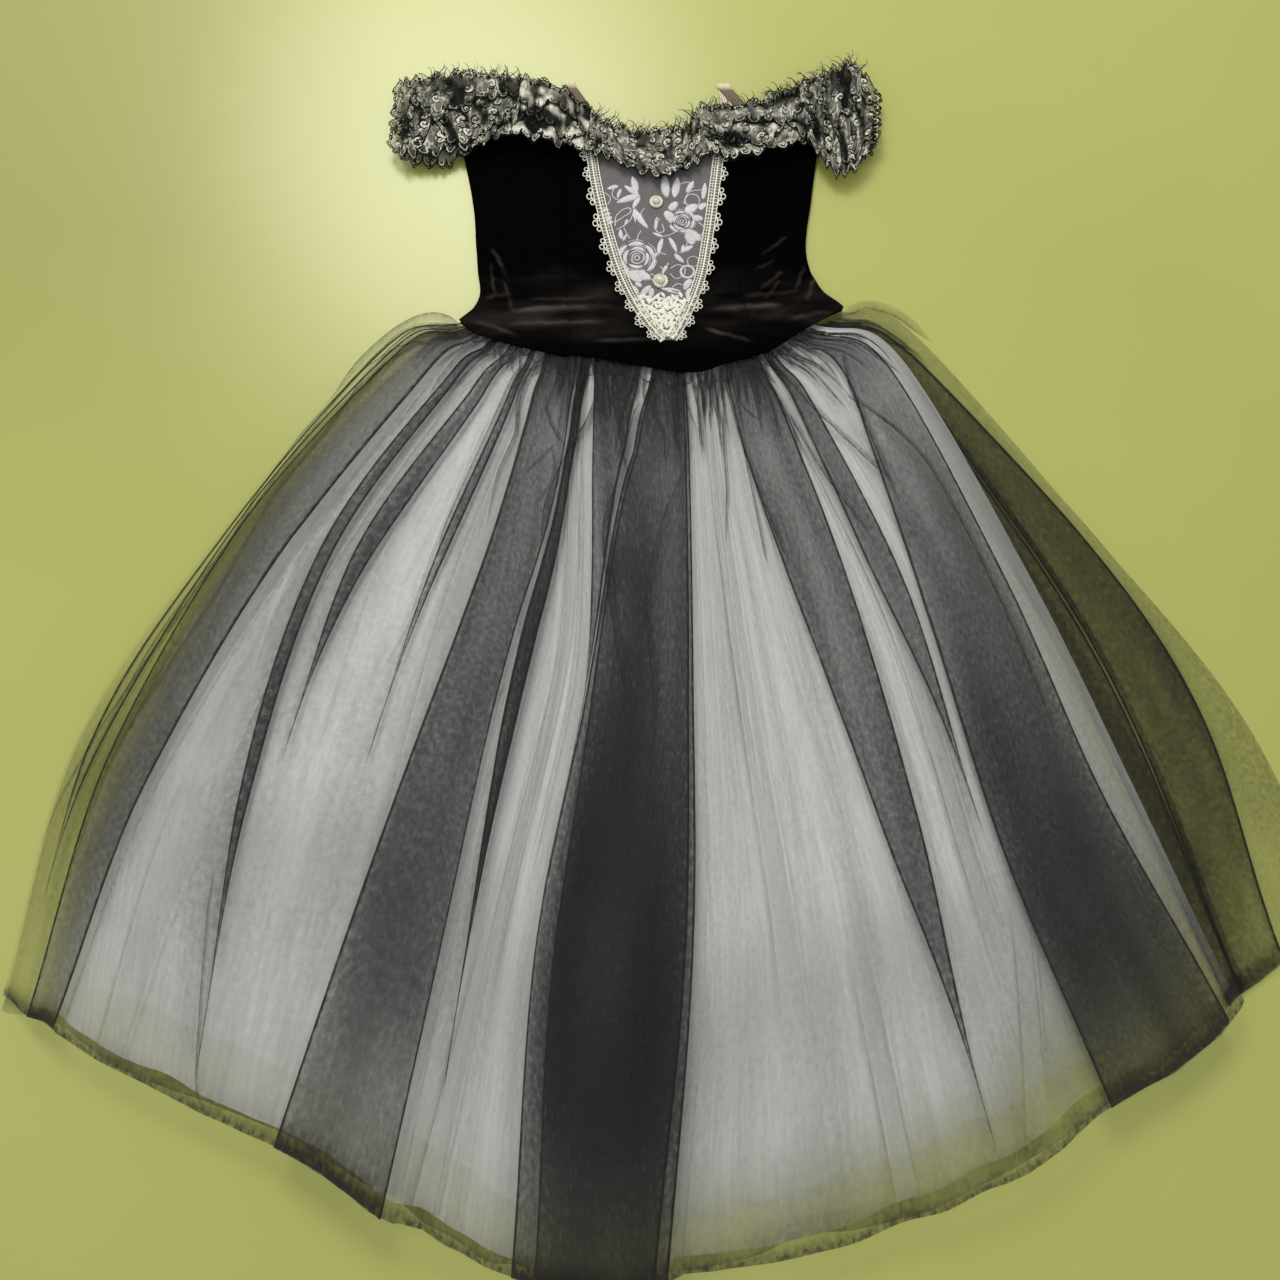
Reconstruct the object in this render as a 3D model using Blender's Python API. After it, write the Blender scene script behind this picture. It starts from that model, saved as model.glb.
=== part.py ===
"""A ballet dress laid flat: a black velvet bodice with an ivory lace stomacher, ruffled lace round the neck and
sleeves, and a gathered skirt of white tulle between two layers of black net.

Metres. X runs to the right as the dress is seen, Y from the hem to the neck, Z up from the floor it lies on."""

import math
from collections import namedtuple

import bpy
import numpy as np

# Cloth walls, and the gap left at a seam or between a piece and what it lies on
SEAM = 0.0003
VELVET = 0.0025
NET = 0.0010
LACE = 0.0012
GUIPURE = 0.0010
ELASTIC = 0.0012

# Skirt. Each guide line runs from the gathered edge to the hem, and the lines are numbered 0 to 8 from the left.
GuideLine = namedtuple("GuideLine", "name waist hip middle low hem")
STATIONS = (0.0, 0.12, 0.4, 0.7, 1.0)
GUIDE_LINES = (
    GuideLine(
        "left outline",
        (-0.185, 0.642), (-0.262, 0.617), (-0.405, 0.421), (-0.525, 0.209), (-0.565, -0.030),
    ),
    GuideLine(
        "left folds",
        (-0.160, 0.627), (-0.215, 0.580), (-0.345, 0.400), (-0.415, 0.160), (-0.430, -0.090),
    ),
    GuideLine(
        "left panel",
        (-0.088, 0.607), (-0.100, 0.520), (-0.125, 0.330), (-0.175, 0.120), (-0.255, -0.168),
    ),
    GuideLine(
        "centre left",
        (-0.050, 0.604), (-0.048, 0.500), (-0.047, 0.265), (-0.088, 0.010), (-0.105, -0.243),
    ),
    GuideLine(
        "centre right",
        (0.045, 0.587), (0.048, 0.480), (0.050, 0.250), (0.050, 0.000), (0.035, -0.245),
    ),
    GuideLine(
        "right tulle",
        (0.088, 0.597), (0.100, 0.500), (0.150, 0.280), (0.200, 0.050), (0.235, -0.196),
    ),
    GuideLine(
        "right gap",
        (0.132, 0.611), (0.180, 0.540), (0.275, 0.330), (0.340, 0.090), (0.405, -0.110),
    ),
    GuideLine(
        "right folds",
        (0.165, 0.633), (0.250, 0.590), (0.355, 0.365), (0.435, 0.155), (0.515, -0.040),
    ),
    GuideLine(
        "loose net",
        (0.209, 0.656), (0.275, 0.637), (0.435, 0.425), (0.565, 0.235), (0.630, 0.050),
    ),
)
LAST_LINE = len(GUIDE_LINES) - 1
GUIDES = np.array([line[1:] for line in GUIDE_LINES])
WAIST_X, WAIST_Y = GUIDES[:, 0, 0], GUIDES[:, 0, 1]

# One row a layer, from the floor up. The sides are guide line numbers at the waist, the middle and the hem. Length is
# the share of a guide line that it covers, fold the height from ply to ply, gather the height of a gather at the
# waist, and puff the share of the skirt's billow that lifts it.
Layer = namedtuple("Layer", "name colour left right length fold gather puff")
LAYERS = (
    Layer("skirt_back_net", "black net", (0.0, 0.0, 0.0), (8.0, 8.0, 8.0), 1.00, 0.0018, 0.0010, 0.00),
    Layer("skirt_back_tulle", "white tulle", (0.8, 0.9, 0.5), (7.0, 6.9, 6.9), 0.94, 0.0014, 0.0010, 0.25),
    Layer("tulle_long", "white tulle", (0.5, 0.62, 0.15), (7.3, 7.2, 7.1), 0.975, 0.0014, 0.0010, 0.50),
    Layer("tulle_short", "white tulle", (1.0, 1.13, 0.38), (6.7, 6.7, 6.75), 0.85, 0.0014, 0.0010, 0.75),
    Layer("skirt_front_net", "black net", (0.0, 0.0, 0.0), (7.0, 7.0, 7.0), 1.00, 0.0018, 0.0020, 1.00),
)
AIR = 0.0009
BILLOW = 0.013

# One row a pleat, from left to right: the guide line numbers of its two folded edges at the waist, the middle and the
# hem, how many plies lie there, and how far down it runs before the net opens out flat.
Pleat = namedtuple("Pleat", "left right plies end")
FADE_END, FADE_LATE = 0.70, 0.93
PLEATS = {
    "skirt_front_net": (
        Pleat((0.20, 0.18, 0.12), (0.48, 0.42, 0.36), 3, 1.00),
        Pleat((0.72, 0.58, 0.50), (1.02, 1.02, 0.78), 3, 1.00),
        Pleat((1.20, 1.15, 1.22), (1.45, 1.24, 1.27), 3, 1.00),
        Pleat((1.55, 1.33, 1.30), (1.82, 1.44, 1.34), 3, FADE_END),
        Pleat((1.90, 1.62, 1.60), (2.05, 1.68, 1.66), 3, FADE_END),
        Pleat((2.20, 1.88, 1.72), (2.50, 2.18, 2.10), 5, 1.00),
        Pleat((2.60, 2.26, 2.17), (2.85, 2.42, 2.30), 5, 1.00),
        Pleat((3.00, 3.02, 3.02), (3.42, 3.46, 3.46), 5, 1.00),
        Pleat((3.52, 3.56, 3.56), (3.90, 3.94, 3.95), 5, 1.00),
        Pleat((4.85, 5.10, 5.34), (5.25, 5.52, 5.44), 3, FADE_LATE),
        Pleat((5.40, 5.82, 5.90), (5.72, 5.98, 5.96), 3, FADE_END),
        Pleat((5.90, 6.10, 6.06), (6.30, 6.48, 6.48), 3, 1.00),
        Pleat((6.42, 6.57, 6.56), (6.82, 6.92, 6.92), 5, 1.00),
    ),
    "tulle_short": (
        Pleat((1.85, 1.72, 1.80), (2.05, 1.82, 1.90), 3, 1.00),
        Pleat((2.65, 2.55, 2.50), (2.85, 2.66, 2.60), 3, 1.00),
        Pleat((4.30, 4.42, 4.50), (4.55, 4.56, 4.62), 3, 1.00),
        Pleat((5.60, 5.65, 5.60), (5.80, 5.75, 5.72), 3, 1.00),
    ),
    "tulle_long": (
        Pleat((1.25, 1.20, 0.70), (1.50, 1.45, 0.85), 3, 1.00),
        Pleat((2.30, 2.44, 2.40), (2.50, 2.52, 2.52), 3, 1.00),
        Pleat((4.65, 4.80, 4.92), (4.90, 4.92, 5.02), 3, 1.00),
        Pleat((5.90, 6.20, 5.50), (6.10, 6.32, 5.62), 3, 1.00),
    ),
    "skirt_back_tulle": (
        Pleat((2.00, 2.00, 1.90), (2.25, 2.12, 2.02), 3, 1.00),
        Pleat((5.00, 5.20, 5.25), (5.25, 5.32, 5.38), 3, 1.00),
    ),
    "skirt_back_net": (
        Pleat((1.60, 1.60, 1.50), (1.85, 1.90, 1.80), 3, 1.00),
        Pleat((4.40, 4.50, 4.50), (4.70, 4.80, 4.75), 3, 1.00),
        Pleat((6.60, 7.24, 7.20), (6.95, 7.52, 7.38), 3, 1.00),
        Pleat((7.20, 7.64, 7.50), (7.50, 7.84, 7.74), 3, 1.00),
    ),
}
GATHERED_FROM, GATHERED_TO = 0.035, 0.10
FOLDED_FROM = 0.16
FADE_STEP = 0.07
TOP_ROWS = (0.0, GATHERED_FROM, GATHERED_TO, FOLDED_FROM)
FADE_ROWS = (FADE_END - 2 * FADE_STEP, FADE_END - FADE_STEP, FADE_END, FADE_LATE - FADE_STEP)
FADING_ROWS = TOP_ROWS + (0.28, 0.42) + FADE_ROWS + (1.0,)
PLAIN_ROWS = TOP_ROWS + (0.36, 0.58, 0.80, 1.0)
PLY_PAST_FOLD = 0.0017
PLY_DROP = 0.0040
LEAST_PLEAT = 0.0090
PLAIN_SPACING = 0.50

# Bodice. Side seams, from the basque's corner to the underarm, and the neck edge, from left to right.
SideSeams = namedtuple("SideSeams", "y left right")
SIDE_SEAMS = (
    SideSeams(0.642, -0.185, 0.209),
    SideSeams(0.656, -0.171, 0.209),
    SideSeams(0.675, -0.165, 0.190),
    SideSeams(0.700, -0.168, 0.177),
    SideSeams(0.730, -0.171, 0.173),
    SideSeams(0.780, -0.176, 0.180),
    SideSeams(0.848, -0.190, 0.190),
)
SEAM_Y = [row.y for row in SIDE_SEAMS]
NeckEdge = namedtuple("NeckEdge", "x y")
NECK_EDGE = (
    NeckEdge(-0.190, 0.848),
    NeckEdge(-0.130, 0.868),
    NeckEdge(-0.060, 0.852),
    NeckEdge(0.018, 0.842),
    NeckEdge(0.085, 0.852),
    NeckEdge(0.140, 0.868),
    NeckEdge(0.190, 0.848),
)
PRINCESS_LEFT, PRINCESS_RIGHT = 0.275, 0.730
LIP = 0.007
LOFT = 0.0034
LIP_LIFT = 0.0016
BACK_CLEAR = 0.0010
RISE_OVER_SKIRT = 0.055
PANEL_ROWS = (0.0, 0.03, 0.06, 0.09, 0.12, 0.15, 0.19, 0.24, 0.32, 0.45, 0.60, 0.75, 0.88, 1.0)
PANEL_COLUMN = 0.057
BODICE_WIDTH = 0.36

# Soft ridges pushed up in the velvet where the basque is crushed
Crease = namedtuple("Crease", "x0 y0 x1 y1 width height")
CREASES = (
    Crease(-0.140, 0.650, -0.022, 0.658, 0.007, 0.0030),
    Crease(-0.150, 0.632, -0.030, 0.640, 0.006, 0.0020),
    Crease(0.068, 0.652, 0.150, 0.660, 0.007, 0.0030),
    Crease(-0.050, 0.615, 0.030, 0.617, 0.006, 0.0020),
    Crease(0.062, 0.632, 0.115, 0.614, 0.007, 0.0022),
)

# Stomacher, and the guipure edging down each of its sides
Stomacher = namedtuple("Stomacher", "y left right")
STOMACHER = (
    Stomacher(0.848, -0.054, 0.086),
    Stomacher(0.800, -0.047, 0.080),
    Stomacher(0.740, -0.034, 0.072),
    Stomacher(0.690, -0.019, 0.064),
    Stomacher(0.650, -0.003, 0.052),
    Stomacher(0.619, 0.020, 0.036),
)
STOMACHER_ROWS = 12
STOMACHER_LIFT = 0.0006
EDGING_BAND = 0.0045
EDGING_SCALLOP = 0.0098
SCALLOPS = 10
POINTS_A_SCALLOP = 4

# Buttons: where each sits, its radius, and how deep its rim is cut into petals. The profile runs from the foot to the
# top of the pearl, each reach a share of the radius.
Button = namedtuple("Button", "name x y radius cut")
BUTTONS = (
    Button("button_top", 0.017, 0.778, 0.0072, 0.02),
    Button("button_low", 0.021, 0.685, 0.0085, 0.12),
)
ButtonRing = namedtuple("ButtonRing", "reach height")
BUTTON_RINGS = (
    ButtonRing(1.00, 0.0000),
    ButtonRing(1.00, 0.0014),
    ButtonRing(0.86, 0.0022),
    ButtonRing(0.62, 0.0018),
    ButtonRing(0.56, 0.0034),
    ButtonRing(0.32, 0.0050),
)
BUTTON_TOP = 0.0056
PETALS_TO = 0.60
BUTTON_SIDES = 16

# Ruffles. Lower and upper are the points of the two edges from left to right, lift is the height over what lies below
# and gathered the share of the way up where the lace is drawn in.
Ruffle = namedtuple("Ruffle", "name lower upper waves height lift gathered")
RUFFLES = (
    Ruffle(
        "sleeve_back_left",
        ((-0.258, 0.842), (-0.228, 0.842), (-0.198, 0.862), (-0.140, 0.882)),
        ((-0.254, 0.914), (-0.228, 0.918), (-0.198, 0.922), (-0.140, 0.916)),
        5, 0.0078, None, 0.50,
    ),
    Ruffle(
        "sleeve_back_right",
        ((0.135, 0.882), (0.197, 0.864), (0.222, 0.842), (0.248, 0.850)),
        ((0.135, 0.910), (0.197, 0.926), (0.222, 0.930), (0.248, 0.908)),
        5, 0.0078, None, 0.50,
    ),
    Ruffle(
        "sleeve_left",
        ((-0.263, 0.838), (-0.238, 0.831), (-0.200, 0.841), (-0.165, 0.850), (-0.137, 0.862)),
        ((-0.261, 0.920), (-0.240, 0.925), (-0.200, 0.932), (-0.160, 0.930), (-0.127, 0.924)),
        8, 0.0085, 0.0036, 0.68,
    ),
    Ruffle(
        "swag_left",
        ((-0.136, 0.862), (-0.112, 0.856), (-0.085, 0.846), (-0.060, 0.838)),
        ((-0.126, 0.924), (-0.104, 0.920), (-0.078, 0.908), (-0.054, 0.886)),
        3, 0.0080, 0.0043, 0.75,
    ),
    Ruffle(
        "neck_ruffle",
        ((-0.059, 0.838), (-0.030, 0.826), (0.010, 0.808), (0.045, 0.812), (0.074, 0.834)),
        ((-0.053, 0.884), (-0.030, 0.868), (0.008, 0.859), (0.045, 0.864), (0.062, 0.886)),
        9, 0.0050, 0.0043, 0.70,
    ),
    Ruffle(
        "swag_right",
        ((0.075, 0.834), (0.105, 0.826), (0.145, 0.838), (0.178, 0.850)),
        ((0.063, 0.886), (0.098, 0.890), (0.142, 0.902), (0.172, 0.918)),
        4, 0.0080, 0.0043, 0.70,
    ),
    Ruffle(
        "sleeve_right",
        ((0.179, 0.850), (0.200, 0.815), (0.222, 0.813), (0.249, 0.843)),
        ((0.173, 0.918), (0.200, 0.932), (0.228, 0.944), (0.254, 0.916)),
        7, 0.0090, 0.0036, 0.62,
    ),
)
POINTS_A_WAVE = 4
RUFFLE_ROWS = (0.0, 0.35, 0.68, 1.0)
LEAST_WAVE = 0.35

# Eyelash fringe on the top edge: the ruffles it follows, the share of their length, and its hairs
Lashes = namedtuple("Lashes", "name ruffle start stop hairs length")
LASHES = (
    Lashes("lashes_left", "sleeve_left", 0.36, 0.97, 14, 0.014),
    Lashes("lashes_middle", "neck_ruffle", 0.06, 0.95, 18, 0.017),
    Lashes("lashes_right", "swag_right", 0.06, 0.97, 15, 0.015),
    Lashes("lashes_sleeve", "sleeve_right", 0.10, 0.72, 10, 0.018),
)
LASH_STRIP = 0.0030
LASH_WALL = 0.0010
LASH_ROOT, LASH_TIP = 0.0012, 0.0005
LASH_INSET = 0.0035
LASH_TIP_DROP = 0.0015
LASH_LEAN = 0.5
LASH_CLEAR = 0.0006

# Elastic shoulder loops: a flat ribbon that runs up from the back, turns over and comes down on itself
Strap = namedtuple("Strap", "name x width top back lean")
STRAPS = (
    Strap("strap_left", -0.070, 0.012, 0.931, 0.886, 0.004),
    Strap("strap_right", 0.101, 0.012, 0.929, 0.890, -0.003),
)
STRAP_PLY = 0.0020

Finish = namedtuple("Finish", "colour roughness alpha")
FINISHES = {
    "black velvet": Finish((0.012, 0.010, 0.010, 1.0), 0.95, 1.0),
    "black net": Finish((0.020, 0.018, 0.020, 1.0), 0.80, 0.60),
    "white tulle": Finish((0.800, 0.790, 0.760, 1.0), 0.75, 0.80),
    "ivory lace": Finish((0.780, 0.730, 0.620, 1.0), 0.80, 1.0),
    "grey lace": Finish((0.300, 0.290, 0.300, 1.0), 0.80, 1.0),
    "pearl": Finish((0.820, 0.780, 0.690, 1.0), 0.25, 1.0),
    "elastic": Finish((0.620, 0.540, 0.420, 1.0), 0.85, 1.0),
}


def smooth(value):
    """An ease from 0 to 1 as the value goes from 0 to 1."""
    part = np.clip(value, 0.0, 1.0)
    return part * part * (3.0 - 2.0 * part)


def spline(points, at):
    """The smooth curve through a row of points, at a point number or an array of them."""
    points = np.asarray(points, float)
    first_extra = 2.0 * points[:1] - points[1:2]
    last_extra = 2.0 * points[-1:] - points[-2:-1]
    padded = np.concatenate([first_extra, points, last_extra])
    at = np.asarray(at, float)
    first = np.clip(np.floor(at).astype(int), 0, len(points) - 2)
    part = at - first
    part = part.reshape(part.shape + (1,) * (points.ndim - 1))
    before, start, stop, after = (padded[first + k] for k in range(4))
    slope = stop - before
    bend = 2.0 * before - 5.0 * start + 4.0 * stop - after
    twist = 3.0 * start - before - 3.0 * stop + after
    return 0.5 * (2.0 * start + slope * part + bend * part**2 + twist * part**3)


def between(stops, values, at):
    """A smooth curve through values that are given at uneven stops."""
    return spline(values, np.interp(at, stops, range(len(stops))))


def make_materials():
    made = {}
    for name, finish in FINISHES.items():
        material = bpy.data.materials.new(name)
        material.use_nodes = True
        shader = material.node_tree.nodes["Principled BSDF"]
        shader.inputs["Base Color"].default_value = finish.colour
        shader.inputs["Roughness"].default_value = finish.roughness
        shader.inputs["Metallic"].default_value = 0.0
        shader.inputs["Alpha"].default_value = finish.alpha
        material.diffuse_color = finish.colour
        made[name] = material
    return made


def add_object(name, points, faces, material):
    mesh = bpy.data.meshes.new(name)
    mesh.from_pydata([tuple(map(float, point)) for point in points], [], faces)
    mesh.materials.append(material)
    mesh.shade_smooth()
    thing = bpy.data.objects.new(name, mesh)
    bpy.context.collection.objects.link(thing)
    return thing


def give_wall(thing, wall):
    """Turns a surface into a closed wall, half on each side of it."""
    solidify = thing.modifiers.new("Wall", "SOLIDIFY")
    solidify.thickness = wall
    solidify.offset = 0.0
    solidify.use_rim = True


def add_sheet(name, rows, wall, material):
    """A cloth wall over rows of points, each row as long as the next."""
    rows = np.asarray(rows)
    count = rows.shape[1]
    faces = []
    for i in range(len(rows) - 1):
        for j in range(count - 1):
            corner = i * count + j
            faces.append((corner, corner + 1, corner + count + 1, corner + count))
    thing = add_object(name, rows.reshape(-1, 3), faces, material)
    give_wall(thing, wall)
    return thing


def plan(lines, down):
    """Plan points for guide line numbers, all the same share of the way down the skirt."""
    station = np.interp(down, STATIONS, range(len(STATIONS)))
    return spline(spline(GUIDES.transpose(1, 0, 2), station), lines)


def metres_a_line(line, down):
    """How far apart neighbouring guide lines are there."""
    step = 0.02
    near, far = plan(np.array([line - step, line + step]), down)
    return math.dist(near, far) / (2.0 * step)


def gathers_full(lines):
    """0 at the side seams, where the layers lie flat, and 1 across the front."""
    return smooth(lines / 1.5) * smooth((LAST_LINE - lines) / 1.5)


def stack_levels(room):
    """Heights of the layers' lowest plies when each needs the given room above the one below."""
    heights = [NET / 2]
    for layer in LAYERS[:-1]:
        heights.append(heights[-1] + room(layer) + NET)
    return heights


FLAT_LEVELS = stack_levels(lambda layer: SEAM)
WAIST_LEVELS = stack_levels(lambda layer: layer.gather + SEAM)
FREE_LEVELS = stack_levels(lambda layer: 2.0 * layer.fold + AIR)


def risen_to(down):
    """How far the layers have opened out from their gathers into free folds."""
    return smooth((down - GATHERED_FROM) / (GATHERED_TO - GATHERED_FROM))


def billow(lines, down):
    """The soft waves that lift the skirt's upper layers towards the hem."""
    waves = 0.62 - 0.38 * np.cos(2.0 * math.pi * (0.62 * lines + 0.10))
    sides = smooth(lines / 1.8) * smooth((7.3 - lines) / 1.3)
    return BILLOW * waves * sides * smooth(down / 0.6)


def level(number, lines, down):
    """Height of a layer's lowest ply."""
    edge = smooth(lines / 0.5) * smooth((LAST_LINE - lines) / 0.5)
    flat = FLAT_LEVELS[number]
    at_waist = flat + gathers_full(lines) * (WAIST_LEVELS[number] - flat)
    free = flat + edge * (FREE_LEVELS[number] - flat)
    return at_waist + (free - at_waist) * risen_to(down) + LAYERS[number].puff * billow(lines, down)


def edge_at(marks, down):
    """A side or a folded edge, from its guide line numbers at waist, middle and hem."""
    return float(between((0.0, 0.4, 1.0), marks, down))


def fold_shares(pleat, down):
    """How far a pleat's plies have slid over each other, and how far they have risen, there."""
    slid = smooth((down - GATHERED_TO) / (FOLDED_FROM - GATHERED_TO))
    risen = risen_to(down)
    if pleat.end < 1.0 and down > pleat.end - 2.0 * FADE_STEP:
        slid = slid * (1.0 - smooth((down - pleat.end + 2.0 * FADE_STEP) / FADE_STEP))
        risen = risen * (1.0 - smooth((down - pleat.end + FADE_STEP) / FADE_STEP))
    return slid, risen


def pleat_points(pleat, layer, down):
    """Guide line numbers and heights over the lowest ply of one pleat's corners, from left to right along the net."""
    left, right = edge_at(pleat.left, down), edge_at(pleat.right, down)
    metres = metres_a_line((left + right) / 2.0, down)
    past = right + PLY_PAST_FOLD / metres
    landed = past + PLY_DROP / metres
    folded = []
    for turn in range(pleat.plies - 1):
        edge = left if turn % 2 else right
        folded.append((edge, turn))
        folded.append((edge, turn + 1))
    folded.append((past, pleat.plies - 1))
    folded.append((landed, 0))
    folded = np.array(folded, float)
    spare = max(0.0, LEAST_PLEAT / metres - (landed - left)) / 2.0
    opened = np.linspace(left - spare, landed + spare, len(folded))
    slid, risen = fold_shares(pleat, down)
    lines = opened + (folded[:, 0] - opened) * slid
    gathers = np.arange(len(folded)) % 2
    puckers = layer.gather * gathers * gathers_full(lines) * (1.0 - risen_to(down))
    return lines, puckers + folded[:, 1] * layer.fold * risen


def plain_between(pleats, layer):
    """How many plain points go before each pleat, and after the last, to follow the skirt's curve."""
    stops = [layer.left[1]]
    for pleat in pleats:
        stops += [pleat.left[1], pleat.right[1]]
    stops.append(layer.right[1])
    return [int((stops[k + 1] - stops[k]) / PLAIN_SPACING) for k in range(0, len(stops), 2)]


def layer_rows(layer, stations):
    """The shares of the guide lines where a layer has its rows: the top ones are common to all, the last is its hem."""
    stretch = (layer.length - FOLDED_FROM) / (1.0 - FOLDED_FROM)
    return [down if down <= FOLDED_FROM else FOLDED_FROM + (down - FOLDED_FROM) * stretch for down in stations]


def layer_row(number, down):
    """One line of points across a skirt layer."""
    layer = LAYERS[number]
    pleats = PLEATS[layer.name]
    plain = plain_between(pleats, layer)
    lines, heights = [edge_at(layer.left, down)], [0.0]
    for pleat, spaces in zip(pleats, plain):
        corners, rises = pleat_points(pleat, layer, down)
        nearest = min(corners.min(), edge_at(pleat.left, down))
        filler = np.linspace(lines[-1], nearest, spaces + 2)[1:-1]
        lines += [*filler, *corners]
        heights += [*np.zeros(spaces), *rises]
    last = edge_at(layer.right, down)
    lines += [*np.linspace(lines[-1], last, plain[-1] + 2)[1:]]
    heights += [0.0] * (plain[-1] + 1)
    lines = np.array(lines)
    flat = plan(lines, down)
    return np.column_stack([flat, level(number, lines, down) + heights])


def make_skirt(materials):
    for number, layer in enumerate(LAYERS):
        fading = any(pleat.end < 1.0 for pleat in PLEATS[layer.name])
        stations = FADING_ROWS if fading else PLAIN_ROWS
        rows = [layer_row(number, down) for down in layer_rows(layer, stations)]
        add_sheet(layer.name, rows, NET, materials[layer.colour])


def line_at(x):
    """The guide line number whose gathered end is nearest to x."""
    return np.interp(x, WAIST_X, range(len(WAIST_X)))


def side_x(y, column):
    return between(SEAM_Y, [getattr(row, column) for row in SIDE_SEAMS], np.clip(y, SEAM_Y[0], SEAM_Y[-1]))


def creases(x, y):
    """Height of the soft ridges at a point of the velvet."""
    total = 0.0
    for crease in CREASES:
        run_x, run_y = crease.x1 - crease.x0, crease.y1 - crease.y0
        length = math.hypot(run_x, run_y)
        along = ((x - crease.x0) * run_x + (y - crease.y0) * run_y) / length**2
        aside = ((x - crease.x0) * run_y - (y - crease.y0) * run_x) / length
        fade = smooth(along / 0.25) * smooth((1.0 - along) / 0.25)
        total = total + crease.height * fade * np.exp(-((aside / crease.width) ** 2))
    return total


def velvet_height(x, y):
    """Height of the middle of the velvet front, which lies on the back and climbs over the skirt's gathers."""
    left, right = side_x(y, "left"), side_x(y, "right")
    across = np.clip((x - left) / (right - left), 0.0, 1.0)
    body = VELVET + SEAM + VELVET / 2 + LOFT * (1.0 - np.abs(2.0 * across - 1.0) ** 2.5)
    line = line_at(x)
    top_layer = len(LAYERS) - 1
    gathers = level(top_layer, line, 0.0) + LAYERS[top_layer].gather * gathers_full(line) + NET / 2
    over_skirt = gathers + LIP_LIFT + VELVET / 2
    above_edge = y - np.interp(x, WAIST_X, WAIST_Y) + LIP
    rise = 1.0 - smooth(above_edge / RISE_OVER_SKIRT)
    return body + (over_skirt - body) * rise + creases(x, y)


def lower_edge(across, drop):
    """The basque's edge, dropped over the gathers, which taper away at its corners."""
    line = across * LAST_LINE
    x, y = plan(np.array([line]), 0.0)[0]
    return np.array([x, y - drop * float(gathers_full(line)) ** 0.5])


def neck_point(across):
    return spline(NECK_EDGE, across * (len(NECK_EDGE) - 1))


def side_point(column, up):
    corner = WAIST_Y[0] if column == "left" else WAIST_Y[-1]
    y = corner + (SEAM_Y[-1] - corner) * up
    return np.array([float(side_x(y, column)), y])


def panel_point(across, up, drop):
    """A plan point of the bodice, filled in between its lower edge, its neck edge and its two side seams."""
    bottom, top = lower_edge(across, drop), neck_point(across)
    left, right = side_point("left", up), side_point("right", up)
    corners = (
        (1 - across) * ((1 - up) * side_point("left", 0.0) + up * side_point("left", 1.0))
        + across * ((1 - up) * side_point("right", 0.0) + up * side_point("right", 1.0))
    )
    return (1 - up) * bottom + up * top + (1 - across) * left + across * right - corners


def front_panel(name, start, stop, material):
    columns = max(3, round((stop - start) / PANEL_COLUMN))
    rows = []
    for up in PANEL_ROWS:
        points = [panel_point(across, up, LIP) for across in np.linspace(start, stop, columns + 1)]
        rows.append([(x, y, float(velvet_height(x, y))) for x, y in points])
    add_sheet(name, rows[::-1], VELVET, material)


def back_panel(material):
    """The flat back, which ends where the skirt's layers begin."""
    rows = []
    for up in np.linspace(0.0, 1.0, 5):
        points = [panel_point(across, up, 0.0) for across in np.linspace(0.0, 1.0, 2 * LAST_LINE + 1)]
        rows.append([(x, y + BACK_CLEAR * (1 - up), VELVET / 2) for x, y in points])
    add_sheet("bodice_back", rows[::-1], VELVET, material)


def make_bodice(materials):
    velvet = materials["black velvet"]
    half_gap = SEAM / 2 / BODICE_WIDTH
    back_panel(velvet)
    front_panel("side_left", 0.0, PRINCESS_LEFT - half_gap, velvet)
    front_panel("bodice_front", PRINCESS_LEFT + half_gap, PRINCESS_RIGHT - half_gap, velvet)
    front_panel("side_right", PRINCESS_RIGHT + half_gap, 1.0, velvet)


def stomacher_height(x, y):
    return velvet_height(x, y) + VELVET / 2 + STOMACHER_LIFT + GUIPURE / 2


def stomacher_side(column, down):
    """A plan point on one side of the stomacher, 0 at the neck and 1 at its point."""
    at = down * (len(STOMACHER) - 1)
    return spline([(getattr(row, column), row.y) for row in STOMACHER], at)


def make_stomacher(materials):
    rows = []
    for down in np.linspace(0.0, 1.0, STOMACHER_ROWS):
        left, right = stomacher_side("left", down), stomacher_side("right", down)
        points = [left + (right - left) * across for across in np.linspace(0.0, 1.0, 7)]
        rows.append([(x, y, float(stomacher_height(x, y))) for x, y in points])
    add_sheet("stomacher", rows, GUIPURE, materials["grey lace"])


def edging_height(x, y):
    return stomacher_height(x, y) + GUIPURE + STOMACHER_LIFT


def make_edging(name, column, outward, materials):
    """A narrow lace band, straight inside and scalloped outside."""
    rows = []
    for share in (-1.0, 0.0, 1.0):
        row = []
        for down in np.linspace(0.0, 1.0, SCALLOPS * POINTS_A_SCALLOP + 1):
            here = stomacher_side(column, down)
            run = stomacher_side(column, min(down + 0.01, 1.0)) - stomacher_side(column, max(down - 0.01, 0.0))
            aside = np.array([-run[1], run[0]]) / np.hypot(*run)
            if aside[0] * outward < 0:
                aside = -aside
            scallop = abs(math.sin(math.pi * SCALLOPS * down)) ** 0.7
            reach = EDGING_BAND + (EDGING_SCALLOP - EDGING_BAND) * scallop
            x, y = here + aside * (-EDGING_BAND if share < 0 else share * reach)
            row.append((x, y, float(edging_height(x, y))))
        rows.append(row)
    add_sheet(name, rows if outward < 0 else rows[::-1], GUIPURE, materials["ivory lace"])


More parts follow.
